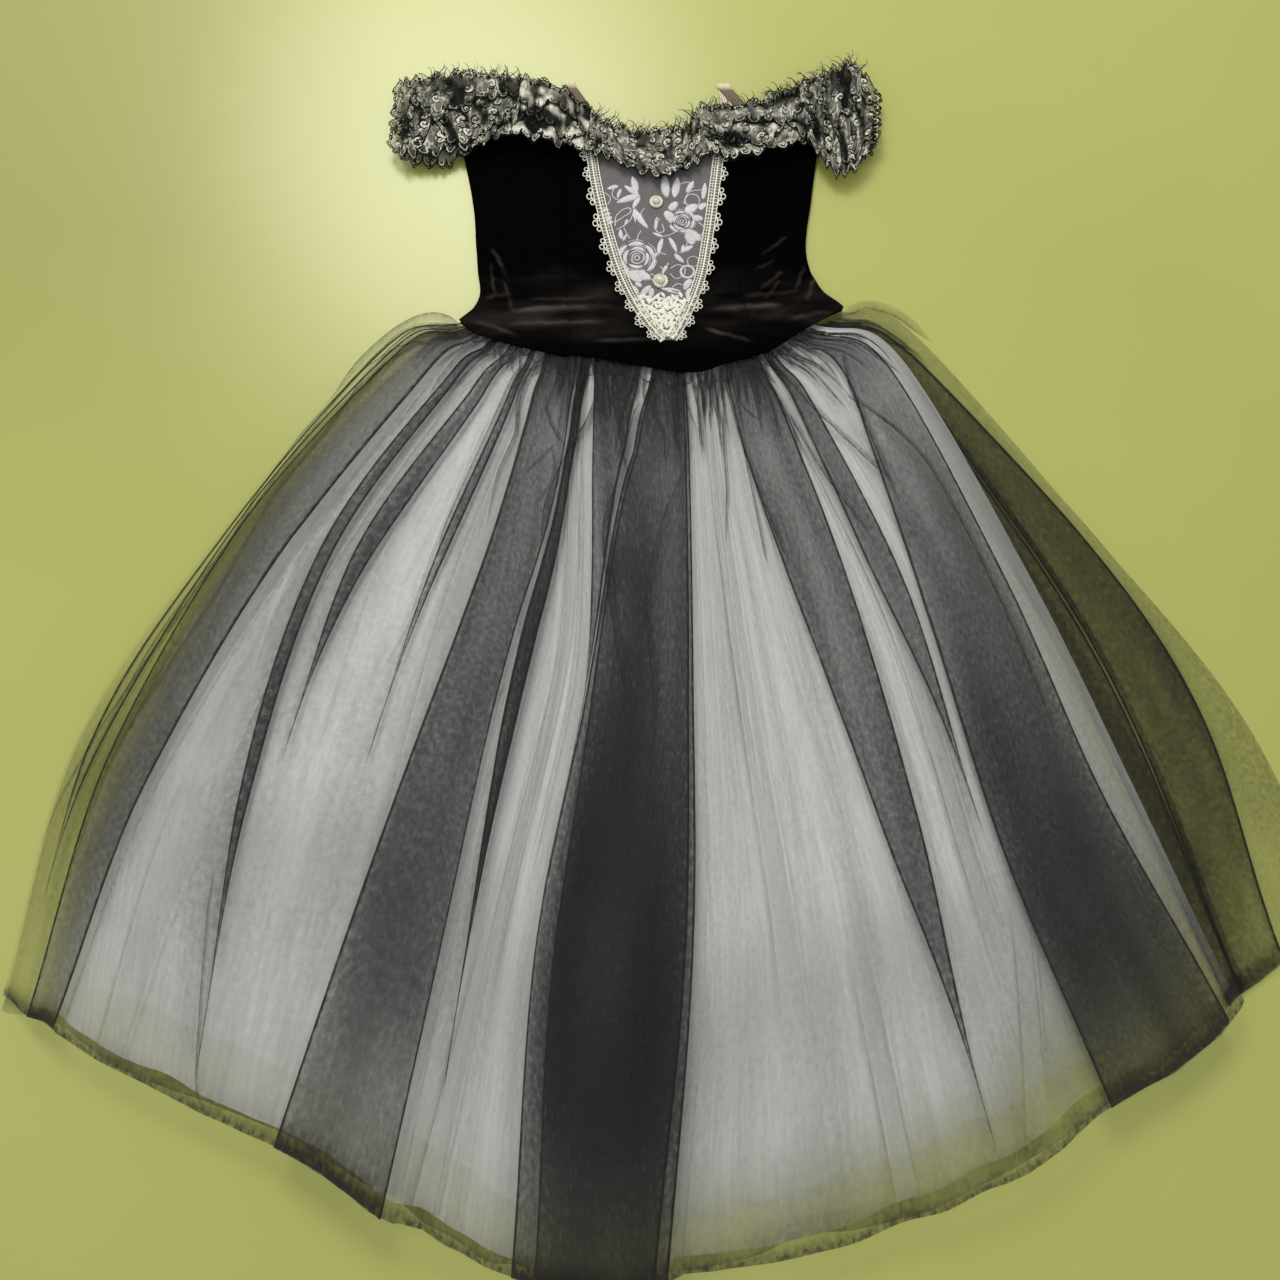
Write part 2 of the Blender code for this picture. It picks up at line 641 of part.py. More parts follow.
def make_button(button, materials):
    """A turned pearl in a petalled rim, on the stomacher."""
    seat = max(
        float(stomacher_height(button.x + button.radius * math.cos(turn), button.y + button.radius * math.sin(turn)))
        for turn in np.linspace(0.0, 2.0 * math.pi, 12)
    )
    seat += GUIPURE / 2 + SEAM
    points = [(button.x, button.y, seat)]
    for ring in BUTTON_RINGS:
        for k in range(BUTTON_SIDES):
            turn = 2.0 * math.pi * k / BUTTON_SIDES
            petal = 1.0 - button.cut * (k % 2) * (ring.reach > PETALS_TO)
            reach = button.radius * ring.reach * petal
            points.append((button.x + reach * math.cos(turn), button.y + reach * math.sin(turn), seat + ring.height))
    points.append((button.x, button.y, seat + BUTTON_TOP))
    rings = len(BUTTON_RINGS)
    top = len(points) - 1
    faces = []
    for k in range(BUTTON_SIDES):
        after = (k + 1) % BUTTON_SIDES
        faces.append((0, 1 + after, 1 + k))
        for ring in range(rings - 1):
            low, high = 1 + ring * BUTTON_SIDES, 1 + (ring + 1) * BUTTON_SIDES
            faces.append((low + k, low + after, high + after, high + k))
        last = 1 + (rings - 1) * BUTTON_SIDES
        faces.append((last + k, last + after, top))
    add_object(button.name, points, faces, materials["pearl"])


def ruffle_plan(ruffle, along, up):
    at = along * (len(ruffle.lower) - 1)
    lower, upper = spline(ruffle.lower, at), spline(ruffle.upper, at)
    return lower + (upper - lower) * up


def ruffle_floor(ruffle, x, y):
    """Height of the middle of a ruffle's lace at the foot of its waves."""
    if ruffle.lift is None:
        return LACE / 2
    return float(velvet_height(x, min(y, SEAM_Y[-1]))) + VELVET / 2 + ruffle.lift


def ruffle_swell(ruffle, up):
    """Waves are small where the lace is drawn in and full at its two free edges."""
    reach = max(ruffle.gathered, 1.0 - ruffle.gathered)
    return LEAST_WAVE + (1.0 - LEAST_WAVE) * abs(up - ruffle.gathered) / reach


def make_ruffle(ruffle, materials):
    rows = []
    columns = ruffle.waves * POINTS_A_WAVE
    for up in RUFFLE_ROWS:
        row = []
        for k in range(columns + 1):
            along = k / columns
            x, y = ruffle_plan(ruffle, along, up)
            wave = 0.5 - 0.5 * math.cos(2.0 * math.pi * ruffle.waves * along)
            row.append((x, y, ruffle_floor(ruffle, x, y) + ruffle.height * wave * ruffle_swell(ruffle, up)))
        rows.append(row)
    add_sheet(ruffle.name, rows[::-1], LACE, materials["grey lace"])


def make_lashes(lashes, materials):
    """Tapered hairs fused into a narrow strip along a ruffle's top edge."""
    ruffle = next(row for row in RUFFLES if row.name == lashes.ruffle)
    points, faces = [], []
    for hair in range(lashes.hairs):
        root = lashes.start + (lashes.stop - lashes.start) * hair / (lashes.hairs - 1)
        middle = ruffle_plan(ruffle, root, 1.0)
        along = ruffle_plan(ruffle, root + 0.02, 1.0) - ruffle_plan(ruffle, root - 0.02, 1.0)
        along = along / np.hypot(*along)
        out = np.array([-along[1], along[0]])
        crest = ruffle.height * ruffle_swell(ruffle, 1.0)
        height = ruffle_floor(ruffle, *middle) + crest + LACE / 2 + LASH_CLEAR + LASH_WALL / 2
        lean = LASH_LEAN * math.sin(2.3 * hair)
        reach = lashes.length * (0.75 + 0.25 * math.cos(4.1 * hair))
        tip = middle + out * reach + along * lean * reach
        foot = middle - out * LASH_INSET
        strip = foot - out * LASH_STRIP
        for place, half, drop in (
            (strip, LASH_ROOT, 0.0),
            (foot, LASH_ROOT, 0.0),
            (tip, LASH_TIP, LASH_TIP_DROP),
        ):
            for side in (-half, half):
                x, y = place + along * side
                points.append((x, y, height - drop))
    for hair in range(lashes.hairs):
        start = hair * 6
        for step in (0, 2):
            faces.append((start + step, start + step + 1, start + step + 3, start + step + 2))
        if hair < lashes.hairs - 1:
            after = start + 6
            faces.append((start + 1, after, after + 2, start + 3))
    give_wall(add_object(lashes.name, points, faces, materials["grey lace"]), LASH_WALL)


def make_strap(strap, materials):
    """A ribbon loop: a lower ply on the floor, a turn, and an upper ply that leans a little."""
    low, high = ELASTIC / 2, ELASTIC / 2 + STRAP_PLY
    neck_x, neck_y = zip(*NECK_EDGE)
    edges = [strap.x + strap.width * (across - 0.5) for across in (0.0, 0.5, 1.0)]
    rows = [[(x, float(between(neck_x, neck_y, x)) + 2 * SEAM, low) for x in edges]]
    path = (
        ((strap.back + strap.top) / 2, low),
        (strap.top - STRAP_PLY, low),
        (strap.top, (low + high) / 2),
        (strap.top - STRAP_PLY, high),
        (strap.back, high),
    )
    for step, (y, z) in enumerate(path):
        shift = strap.lean * (step + 1) / len(path)
        rows.append([(x + shift, y, z) for x in edges])
    add_sheet(strap.name, rows, ELASTIC, materials["elastic"])


def centre_on_floor():
    """Moves every mesh so that the middle of the dress's box, on the floor, is the origin."""
    bpy.context.view_layer.update()
    graph = bpy.context.evaluated_depsgraph_get()
    corners = []
    for thing in bpy.context.collection.objects:
        solid = thing.evaluated_get(graph).to_mesh()
        corners += [vertex.co[:] for vertex in solid.vertices]
    corners = np.array(corners)
    low, high = corners.min(axis=0), corners.max(axis=0)
    shift = (-(low[0] + high[0]) / 2, -(low[1] + high[1]) / 2, -low[2])
    for thing in bpy.context.collection.objects:
        for vertex in thing.data.vertices:
            vertex.co = [place + move for place, move in zip(vertex.co, shift)]


def main():
    for thing in list(bpy.data.objects):
        bpy.data.objects.remove(thing)
    materials = make_materials()
    make_skirt(materials)
    make_bodice(materials)
    make_stomacher(materials)
    make_edging("trim_left", "left", -1, materials)
    make_edging("trim_right", "right", 1, materials)
    for button in BUTTONS:
        make_button(button, materials)
    for ruffle in RUFFLES:
        make_ruffle(ruffle, materials)
    for lashes in LASHES:
        make_lashes(lashes, materials)
    for strap in STRAPS:
        make_strap(strap, materials)
    centre_on_floor()


main()
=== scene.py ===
"""A ballet dress laid on its back on a plain pale floor: a black velvet bodice with an ivory lace stomacher,
black and silver lace ruffles, and a gathered skirt of white tulle between two layers of black net.

Metres. X runs to the right as the dress is seen, Y from the hem to the neck, Z up from the floor."""

import math
from collections import namedtuple

import bpy
import numpy as np
from mathutils.bvhtree import BVHTree
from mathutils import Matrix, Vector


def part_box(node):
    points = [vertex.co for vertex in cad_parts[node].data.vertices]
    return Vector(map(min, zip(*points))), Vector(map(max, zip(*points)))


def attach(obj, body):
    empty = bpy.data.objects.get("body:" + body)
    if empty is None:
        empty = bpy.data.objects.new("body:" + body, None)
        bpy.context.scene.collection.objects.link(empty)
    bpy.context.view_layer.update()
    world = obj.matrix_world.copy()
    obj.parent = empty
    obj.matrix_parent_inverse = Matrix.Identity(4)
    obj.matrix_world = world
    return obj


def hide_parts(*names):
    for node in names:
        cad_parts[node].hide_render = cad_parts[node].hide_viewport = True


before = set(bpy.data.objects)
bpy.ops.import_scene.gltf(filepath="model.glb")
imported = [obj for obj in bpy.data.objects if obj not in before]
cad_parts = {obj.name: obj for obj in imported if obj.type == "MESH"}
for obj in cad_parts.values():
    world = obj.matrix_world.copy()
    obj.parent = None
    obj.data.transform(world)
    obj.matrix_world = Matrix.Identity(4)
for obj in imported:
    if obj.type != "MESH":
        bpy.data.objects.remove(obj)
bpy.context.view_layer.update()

# Camera
# It is held over the waist and tipped a little towards the neck. The plan that every piece is drawn on has
# its origin under the camera, and the upper button says how far that is from the part's own origin.
CAMERA_HEIGHT = 1.14
CAMERA_TIP = math.radians(15)
CAMERA_LENS = 34.65
BUTTON_TOP_PLAN = (0.017, 0.778)
button_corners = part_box("button_top")
PLAN_TO_PART = np.array([
    (button_corners[0].x + button_corners[1].x) / 2 - BUTTON_TOP_PLAN[0],
    (button_corners[0].y + button_corners[1].y) / 2 - BUTTON_TOP_PLAN[1],
    0.0,
])
camera_data = bpy.data.cameras.new("camera")
camera_data.lens = CAMERA_LENS
camera_data.sensor_width = 36
camera = bpy.data.objects.new("camera", camera_data)
camera.location = PLAN_TO_PART + np.array([0.0, 0.0, CAMERA_HEIGHT])
camera.rotation_euler = (CAMERA_TIP, 0.0, 0.0)
bpy.context.collection.objects.link(camera)
bpy.context.scene.camera = camera
bpy.context.scene.view_settings.view_transform = "Standard"
bpy.context.scene.cycles.transparent_max_bounces = 48
bpy.context.scene.cycles.diffuse_bounces = 2
bpy.context.scene.cycles.glossy_bounces = 2


# Floor and light
# A plain vinyl floor in a pale yellow green, with painted shade that darkens it beyond the left sleeve. A
# broad soft lamp stands beyond the neck and a weaker one at the left, with light from all round, as in a
# bright studio.
def start_material(name, values):
    """A new material's node tree and shader, with plain values set on the shader's own sockets."""
    material = bpy.data.materials.new(name)
    material.use_nodes = True
    shader = material.node_tree.nodes["Principled BSDF"]
    for socket, value in values.items():
        shader.inputs[socket].default_value = value
    return material, material.node_tree, shader


def put(tree, kind, inputs, **settings):
    """A new node with its settings, each input joined to another node's output or given a value."""
    node = tree.nodes.new(kind)
    for name, value in settings.items():
        setattr(node, name, value)
    for name, value in inputs.items():
        if isinstance(value, bpy.types.NodeSocket):
            tree.links.new(value, node.inputs[name])
        else:
            node.inputs[name].default_value = value
    return node


def calc(tree, operation, first, second=0.0, third=0.0):
    return put(tree, "ShaderNodeMath", {0: first, 1: second, 2: third}, operation=operation).outputs[0]


def noise(tree, where, scale, detail=2.0, roughness=0.5):
    inputs = {"Vector": where, "Scale": scale, "Detail": detail, "Roughness": roughness}
    return put(tree, "ShaderNodeTexNoise", inputs).outputs[0]


def spread(tree, value, low, high, new_low=0.0, new_high=1.0):
    """Maps a value from one range to another, held at both ends."""
    inputs = {"Value": value, "From Min": low, "From Max": high, "To Min": new_low, "To Max": new_high}
    return put(tree, "ShaderNodeMapRange", inputs).outputs[0]


def mix_colour(tree, share, first, second):
    return put(tree, "ShaderNodeMix", {0: share, 6: first, 7: second}, data_type="RGBA").outputs[2]


def stretch(tree, where, scale):
    return put(tree, "ShaderNodeMapping", {"Vector": where, "Scale": scale}).outputs[0]


def bump(tree, shader, height, distance, strength=1.0):
    made = put(tree, "ShaderNodeBump", {"Height": height, "Distance": distance, "Strength": strength})
    tree.links.new(made.outputs[0], shader.inputs["Normal"])


FLOOR_CLEAN = (0.440, 0.450, 0.112, 1.0)
FLOOR_SCUFFED = (0.418, 0.428, 0.100, 1.0)
FLOOR_PAINTED_SHADE = (0.345, 0.350, 0.092, 1.0)
FLOOR_HALF = 4.0
PLAN_X, PLAN_Y = float(PLAN_TO_PART[0]), float(PLAN_TO_PART[1])
floor_material, tree, shader = start_material("floor vinyl", {"Roughness": 0.33, "Specular IOR Level": 0.6})
floor_place = put(tree, "ShaderNodeTexCoord", {}).outputs["Object"]
floor_mottle = spread(tree, noise(tree, floor_place, 2.2, 3.0), 0.35, 0.65)
floor_clean = mix_colour(tree, floor_mottle, FLOOR_CLEAN, FLOOR_SCUFFED)
floor_sides = put(tree, "ShaderNodeSeparateXYZ", {0: floor_place}).outputs
# Painted shade: the floor's colour darkens towards the far left corner.
shade_to_left = spread(tree, floor_sides[0], PLAN_X - 0.27, PLAN_X - 0.50)
shade_to_far = spread(tree, floor_sides[1], PLAN_Y + 0.35, PLAN_Y + 0.75)
painted_floor_shade = calc(tree, "MULTIPLY", shade_to_left, shade_to_far)
tree.links.new(mix_colour(tree, painted_floor_shade, floor_clean, FLOOR_PAINTED_SHADE), shader.inputs["Base Color"])
floor_mesh = bpy.data.meshes.new("floor")
floor_corners = [(FLOOR_HALF * x, FLOOR_HALF * y, 0.0) for x, y in ((-1, -1), (1, -1), (1, 1), (-1, 1))]
floor_mesh.from_pydata(floor_corners, [], [(0, 1, 2, 3)])
floor_mesh.materials.append(floor_material)
floor = bpy.data.objects.new("floor", floor_mesh)
bpy.context.collection.objects.link(floor)

STUDIO_COLOUR, STUDIO_STRENGTH = (0.93, 0.95, 0.93, 1.0), 0.69
Lamp = namedtuple("Lamp", "name place aim size power colour")
LAMPS = (
    Lamp(
        "lamp_beyond_neck", place=(-0.50, 2.30, 2.1), aim=(-0.05, 0.25, 0.0),
        size=1.2, power=40.0, colour=(1.0, 0.99, 0.95),
    ),
    Lamp(
        "lamp_left", place=(-2.0, -0.2, 1.9), aim=(0.0, 0.2, 0.0),
        size=1.6, power=3.0, colour=(0.97, 0.98, 1.0),
    ),
)
for lamp in LAMPS:
    light = bpy.data.lights.new(lamp.name, "AREA")
    light.shape = "DISK"
    light.size = lamp.size
    light.energy = lamp.power
    light.color = lamp.colour
    light_object = bpy.data.objects.new(lamp.name, light)
    away = np.array(lamp.place) - np.array(lamp.aim)
    around, along_floor = math.atan2(away[1], away[0]), math.hypot(away[0], away[1])
    light_object.rotation_euler = (0.0, math.atan2(along_floor, away[2]), around)
    light_object.location = PLAN_TO_PART + np.array(lamp.place)
    bpy.context.collection.objects.link(light_object)
world = bpy.data.worlds.new("studio")
world.use_nodes = True
background = world.node_tree.nodes["Background"].inputs
background["Color"].default_value = STUDIO_COLOUR
background["Strength"].default_value = STUDIO_STRENGTH
bpy.context.scene.world = world


# Skirt pattern
# The skirt is five gathered layers: black net, three of white tulle and black net again, all sewn in at the
# waist. They share guide lines, numbered 0 to 8 from the left, that run from the gathered edge to the hem.
def smooth(value):
    """An ease from 0 to 1 as the value goes from 0 to 1."""
    part = np.clip(value, 0.0, 1.0)
    return part * part * (3.0 - 2.0 * part)


def spline(points, at):
    """The smooth curve through a row of points, at a point number or an array of them."""
    points = np.asarray(points, float)
    padded = np.concatenate([2.0 * points[:1] - points[1:2], points, 2.0 * points[-1:] - points[-2:-1]])
    at = np.asarray(at, float)
    first = np.clip(np.floor(at).astype(int), 0, len(points) - 2)
    part = at - first
    part = part.reshape(part.shape + (1,) * (points.ndim - 1))
    before, start, stop, after = (padded[first + k] for k in range(4))
    slope = stop - before
    bend = 2.0 * before - 5.0 * start + 4.0 * stop - after
    twist = 3.0 * start - before - 3.0 * stop + after
    return 0.5 * (2.0 * start + slope * part + bend * part**2 + twist * part**3)


def between(stops, values, at):
    """A smooth curve through values that are given at uneven stops."""
    return spline(values, np.interp(at, stops, range(len(stops))))


def drift(along, across, seed):
    """Smooth chance values from -1 to 1, the same each run."""
    lattice = np.random.default_rng(seed).uniform(-1.0, 1.0, (64, 64))
    along, across = np.broadcast_arrays(np.asarray(along, float), np.asarray(across, float))
    i, j = np.floor(along).astype(int), np.floor(across).astype(int)
    s, t = smooth(along - i), smooth(across - j)
    near = lattice[i % 64, j % 64] * (1 - s) + lattice[(i + 1) % 64, j % 64] * s
    far = lattice[i % 64, (j + 1) % 64] * (1 - s) + lattice[(i + 1) % 64, (j + 1) % 64] * s
    return near * (1 - t) + far * t


Guide = namedtuple("Guide", "name waist hip middle low hem")
STATIONS = (0.0, 0.12, 0.4, 0.7, 1.0)
GUIDE_LINES = (
    Guide("left edge", (-0.185, 0.642), (-0.262, 0.617), (-0.405, 0.421), (-0.525, 0.209), (-0.565, -0.030)),
    Guide("left fold", (-0.160, 0.627), (-0.215, 0.580), (-0.345, 0.400), (-0.415, 0.160), (-0.430, -0.090)),
    Guide("left gore", (-0.088, 0.607), (-0.100, 0.520), (-0.125, 0.330), (-0.175, 0.120), (-0.255, -0.168)),
    Guide("mid left", (-0.050, 0.604), (-0.048, 0.500), (-0.047, 0.265), (-0.088, 0.010), (-0.105, -0.243)),
    Guide("mid right", (0.045, 0.587), (0.048, 0.480), (0.050, 0.250), (0.050, 0.000), (0.035, -0.245)),
    Guide("right tulle", (0.088, 0.597), (0.100, 0.500), (0.150, 0.280), (0.200, 0.050), (0.235, -0.196)),
    Guide("right gap", (0.132, 0.611), (0.180, 0.540), (0.275, 0.330), (0.340, 0.090), (0.405, -0.110)),
    Guide("right folds", (0.165, 0.633), (0.250, 0.590), (0.355, 0.365), (0.435, 0.155), (0.515, -0.040)),
    Guide("loose net", (0.209, 0.656), (0.275, 0.637), (0.435, 0.425), (0.565, 0.235), (0.630, 0.050)),
)
LAST_LINE = len(GUIDE_LINES) - 1
GUIDES = np.array([line[1:] for line in GUIDE_LINES])
WAIST_X, WAIST_Y = GUIDES[:, 0, 0], GUIDES[:, 0, 1]

SEAM = 0.0003
NET_WALL = 0.0010
AIR = 0.0009
BILLOW = 0.013
Layer = namedtuple("Layer", "name cloth left right length fold gather puff hides flat_width flat_length")
LAYERS = (
    Layer(
        "skirt_back_net", "black net", left=(0.0, 0.0, 0.0), right=(8.0, 8.0, 8.0), length=1.00,
        fold=0.0018, gather=0.0010, puff=0.00, hides=0.24, flat_width=1.45, flat_length=0.84,
    ),
    Layer(
        "skirt_back_tulle", "white tulle", left=(0.8, 0.9, 0.5), right=(7.0, 6.9, 6.9), length=0.94,
        fold=0.0014, gather=0.0010, puff=0.25, hides=0.55, flat_width=1.10, flat_length=0.79,
    ),
    Layer(
        "tulle_long", "white tulle", left=(0.5, 0.62, 0.15), right=(7.3, 7.2, 7.1), length=0.975,
        fold=0.0014, gather=0.0010, puff=0.50, hides=0.70, flat_width=1.25, flat_length=0.82,
    ),
    Layer(
        "tulle_short", "white tulle", left=(1.0, 1.13, 0.38), right=(6.7, 6.7, 6.75), length=0.85,
        fold=0.0014, gather=0.0010, puff=0.75, hides=0.86, flat_width=1.05, flat_length=0.72,
    ),
    Layer(
        "skirt_front_net", "black net", left=(0.0, 0.0, 0.0), right=(7.05, 7.20, 7.12), length=1.00,
        fold=0.0018, gather=0.0020, puff=1.00, hides=0.20, flat_width=2.15, flat_length=0.84,
    ),
)
GATHERED_FROM, GATHERED_TO = 0.035, 0.10
FOLDED_FROM = 0.16
FADE_END, FADE_LATE, FADE_LAST, FADE_STEP = 0.72, 0.96, 1.04, 0.05


def plan(lines, down):
    """Plan points for guide line numbers, all the same share of the way down the skirt."""
    station = np.interp(down, STATIONS, range(len(STATIONS)))
    return spline(spline(GUIDES.transpose(1, 0, 2), station), lines)


def metres_a_line(line, down):
    """How far apart neighbouring guide lines are there."""
    near, far = plan(np.array([line - 0.02, line + 0.02]), down)
    return math.dist(near, far) / 0.04


def gathers_full(lines):
    """0 at the side seams, where the layers lie flat, and 1 across the front."""
    return smooth(lines / 1.5) * smooth((LAST_LINE - lines) / 1.5)


def stack_levels(room):
    """Heights of the layers' lowest plies when each needs the given room above the one below."""
    heights = [NET_WALL / 2]
    for layer in LAYERS[:-1]:
        heights.append(heights[-1] + room(layer) + NET_WALL)
    return heights


FLAT_LEVELS = stack_levels(lambda layer: SEAM)
WAIST_LEVELS = stack_levels(lambda layer: layer.gather + SEAM)
FREE_LEVELS = stack_levels(lambda layer: 2.0 * layer.fold + AIR)


def risen_to(down):
    """How far the layers have opened out from their gathers into free folds."""
    return smooth((down - GATHERED_FROM) / (GATHERED_TO - GATHERED_FROM))


def billow(lines, down):
    """The soft waves that lift the skirt's upper layers towards the hem."""
    waves = 0.62 - 0.38 * np.cos(2.0 * math.pi * (0.62 * lines + 0.10))
    sides = smooth(lines / 1.8) * smooth((7.3 - lines) / 1.3)
    return BILLOW * waves * sides * smooth(down / 0.6)


def level(number, lines, down):
    """Height of a layer's lowest ply."""
    edge = smooth(lines / 0.5) * smooth((LAST_LINE - lines) / 0.5)
    flat = FLAT_LEVELS[number]
    at_waist = flat + gathers_full(lines) * (WAIST_LEVELS[number] - flat)
    free = flat + edge * (FREE_LEVELS[number] - flat)
    return at_waist + (free - at_waist) * risen_to(down) + LAYERS[number].puff * billow(lines, down)


# Skirt nets and tulles
# Soft nylon net and tulle, cut as long strips, gathered at the waist and left raw at the hem. The front
# net falls in knife pleats of three and five plies, so bands of it are darker. The top tulle is shortest.
Pleat = namedtuple("Pleat", "left right plies end hides hem_hides")
PLEATS = {
    "skirt_front_net": (
        Pleat((0.14, 0.16, 0.02), (0.40, 0.40, 0.16), 3, FADE_LATE, 0.02, 0.15),
        Pleat((0.52, 0.56, 0.22), (1.02, 1.12, 0.46), 3, 1.00, 0.19, 0.30),
        Pleat((1.22, 1.22, 1.27), (1.30, 1.27, 1.30), 3, FADE_LAST, 0.30, 0.40),
        Pleat((1.46, 1.34, 1.32), (1.56, 1.42, 1.33), 3, FADE_END, 0.26, 0.34),
        Pleat((1.70, 1.63, 1.60), (1.76, 1.66, 1.61), 3, FADE_END, 0.30, 0.30),
        Pleat((1.92, 1.82, 1.70), (2.80, 2.12, 2.33), 3, 1.00, 0.22, 0.34),
        Pleat((2.84, 2.15, 2.48), (3.03, 2.28, 2.51), 5, FADE_LATE, 0.30, 0.40),
        Pleat((3.06, 2.97, 2.96), (3.62, 2.99, 2.97), 3, FADE_END, 0.30, 0.24),
        Pleat((3.66, 3.01, 3.00), (4.02, 4.05, 3.96), 5, 1.00, 0.21, 0.40),
        Pleat((4.95, 5.13, 5.36), (5.72, 5.50, 5.38), 3, FADE_LAST, 0.26, 0.32),
        Pleat((5.78, 5.67, 5.86), (5.97, 5.90, 5.89), 3, FADE_END, 0.27, 0.34),
        Pleat((6.62, 5.94, 5.96), (6.95, 7.00, 7.06), 3, 1.00, 0.175, 0.48),
    ),
    "tulle_short": (
        Pleat((1.85, 1.72, 1.80), (2.05, 1.82, 1.90), 3, 1.00, 0.48, 0.48),
        Pleat((2.65, 2.55, 2.50), (2.85, 2.66, 2.60), 3, 1.00, 0.48, 0.48),
        Pleat((4.30, 4.42, 4.50), (4.55, 4.56, 4.62), 3, 1.00, 0.48, 0.48),
        Pleat((5.60, 5.65, 5.60), (5.80, 5.75, 5.72), 3, 1.00, 0.48, 0.48),
    ),
    "tulle_long": (
        Pleat((1.25, 1.20, 0.70), (1.50, 1.45, 0.85), 3, 1.00, 0.33, 0.33),
        Pleat((2.30, 2.44, 2.40), (2.50, 2.52, 2.52), 3, 1.00, 0.33, 0.33),
        Pleat((4.65, 4.80, 4.92), (4.90, 4.92, 5.02), 3, 1.00, 0.33, 0.33),
        Pleat((5.90, 6.20, 5.50), (6.10, 6.32, 5.62), 3, 1.00, 0.33, 0.33),
    ),
    "skirt_back_tulle": (
        Pleat((2.00, 2.00, 1.90), (2.25, 2.12, 2.02), 3, 1.00, 0.23, 0.23),
        Pleat((5.00, 5.20, 5.25), (5.25, 5.32, 5.38), 3, 1.00, 0.23, 0.23),
    ),
    "skirt_back_net": (
        Pleat((1.60, 1.60, 1.50), (1.85, 1.90, 1.80), 3, FADE_LATE, 0.09, 0.09),
        Pleat((4.40, 4.50, 4.50), (4.70, 4.80, 4.75), 3, FADE_LATE, 0.09, 0.09),
        Pleat((6.60, 7.12, 7.08), (6.95, 7.42, 7.20), 3, 1.00, 0.26, 0.38),
        Pleat((6.94, 7.41, 7.19), (7.45, 7.95, 7.60), 3, 1.00, 0.28, 0.30),
    ),
}
PLY_PAST_FOLD = 0.0017
PLY_DROP = 0.0040
SLIMMEST_PLEAT, LEAST_PLEAT, FULL_PLEAT = 0.0009, 0.0026, 0.0080
INNER_FOLDS = (0.10, 0.00, 0.05, 0.09)
NEAR_FOLD = 0.0015
BEND_TURNS = (-90, -50, 0, 50, 90)
PLY_COLUMNS = 4
PLIES_PRESSED = 0.12
SINGLE_PLY = 5
PLAIN_COLUMNS = 26
WAIST_ROWS, FALL_ROWS = 18, 62
HEM_ROLL = 0.0030
SKIRT_LENGTH = 0.85
CLOTH_A_LINE = 0.14
RIPPLE = 0.0042
RUMPLE = 0.0014
PUCKERS_A_LINE = 6.0
PUCKER = 0.0026
GATHERS_HIDE = 0.60
THIN_LENGTH, LEAST_THIN, MOST_THIN = 0.17, 0.36, 0.84
SHORT_TULLE_THIN = 0.96
NET_THIN = 0.40
HEM_DOUBLED = 0.9
FRONT_HEM_MARK, BACK_HEM_MARK = 0.8, 0.2
TULLE_LEFT_EDGE, TULLE_RIGHT_EDGE = 0.25, 0.45
SIDE_THIN, SIDE_THIN_LOW = 0.24, 0.70
TULLE_REACH = 0.013
TAPER = 0.42


def add_mesh(name, points, faces, material, values=None):
    """A smooth piece from plan points, moved to the part's own frame, with values its material reads."""
    mesh = bpy.data.meshes.new(name)
    points = np.asarray(points, float).reshape(-1, 3) + PLAN_TO_PART
    faces = np.asarray(faces, int) if len({len(face) for face in faces}) == 1 else faces
    mesh.from_pydata(points.tolist(), [], faces.tolist() if isinstance(faces, np.ndarray) else faces)
    mesh.materials.append(material)
    mesh.shade_smooth()
    for title, numbers in (values or {}).items():
        numbers = np.asarray(numbers, np.float32).reshape(len(points), -1)
        kind, field = ("FLOAT", "value") if numbers.shape[1] == 1 else ("FLOAT_VECTOR", "vector")
        mesh.attributes.new(title, kind, "POINT").data.foreach_set(field, numbers.ravel())
    thing = bpy.data.objects.new(name, mesh)
    bpy.context.collection.objects.link(thing)
    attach(thing, "root")
    return thing


def grid_faces(rows, columns):
    """Faces over rows of points: they look up when rows run down the dress and columns to the right."""
    corner = (np.arange(rows - 1)[:, None] * columns + np.arange(columns - 1)).reshape(-1, 1)
    return corner + np.array([0, columns, columns + 1, 1])


def net_material(name, dark, light, sheen, unevenness, along_grain):
    """Sheer net: how much it hides is worked out with its mesh, and this adds the fine grain of the net."""
    values = {"Roughness": 0.75, "Sheen Weight": sheen, "Specular IOR Level": 0.25}
    material, tree, shader = start_material(name, values)
    place = put(tree, "ShaderNodeAttribute", {}, attribute_name="cloth").outputs["Vector"]
    cover = put(tree, "ShaderNodeAttribute", {}, attribute_name="cover").outputs["Fac"]
    grain = noise(tree, stretch(tree, place, (1.0, along_grain, 1.0)), 300.0, 2.0, 0.6)
    uneven = spread(tree, grain, 0.30, 0.70, 1.0 - unevenness, 1.0 + unevenness)
    tree.links.new(calc(tree, "MULTIPLY", cover, uneven), shader.inputs["Alpha"])
    shade = mix_colour(tree, spread(tree, grain, 0.35, 0.65), dark, light)
    tree.links.new(shade, shader.inputs["Base Color"])
    return material


NET_BLACK, NET_GREY = (0.008, 0.0065, 0.006, 1.0), (0.024, 0.019, 0.0175, 1.0)
TULLE_SHADED, TULLE_WHITE = (0.790, 0.780, 0.772, 1.0), (0.860, 0.850, 0.842, 1.0)
NetCloth = namedtuple("NetCloth", "material fold_hides streaks")
black_net = net_material("black net", NET_BLACK, NET_GREY, sheen=0.05, unevenness=0.36, along_grain=0.45)
white_tulle = net_material(
    "white tulle", TULLE_SHADED, TULLE_WHITE, sheen=0.10, unevenness=0.05, along_grain=0.05
)
SKIRT_CLOTHS = {
    "black net": NetCloth(black_net, fold_hides=0.86, streaks=0.26),
    "white tulle": NetCloth(white_tulle, fold_hides=0.66, streaks=0.12),
}


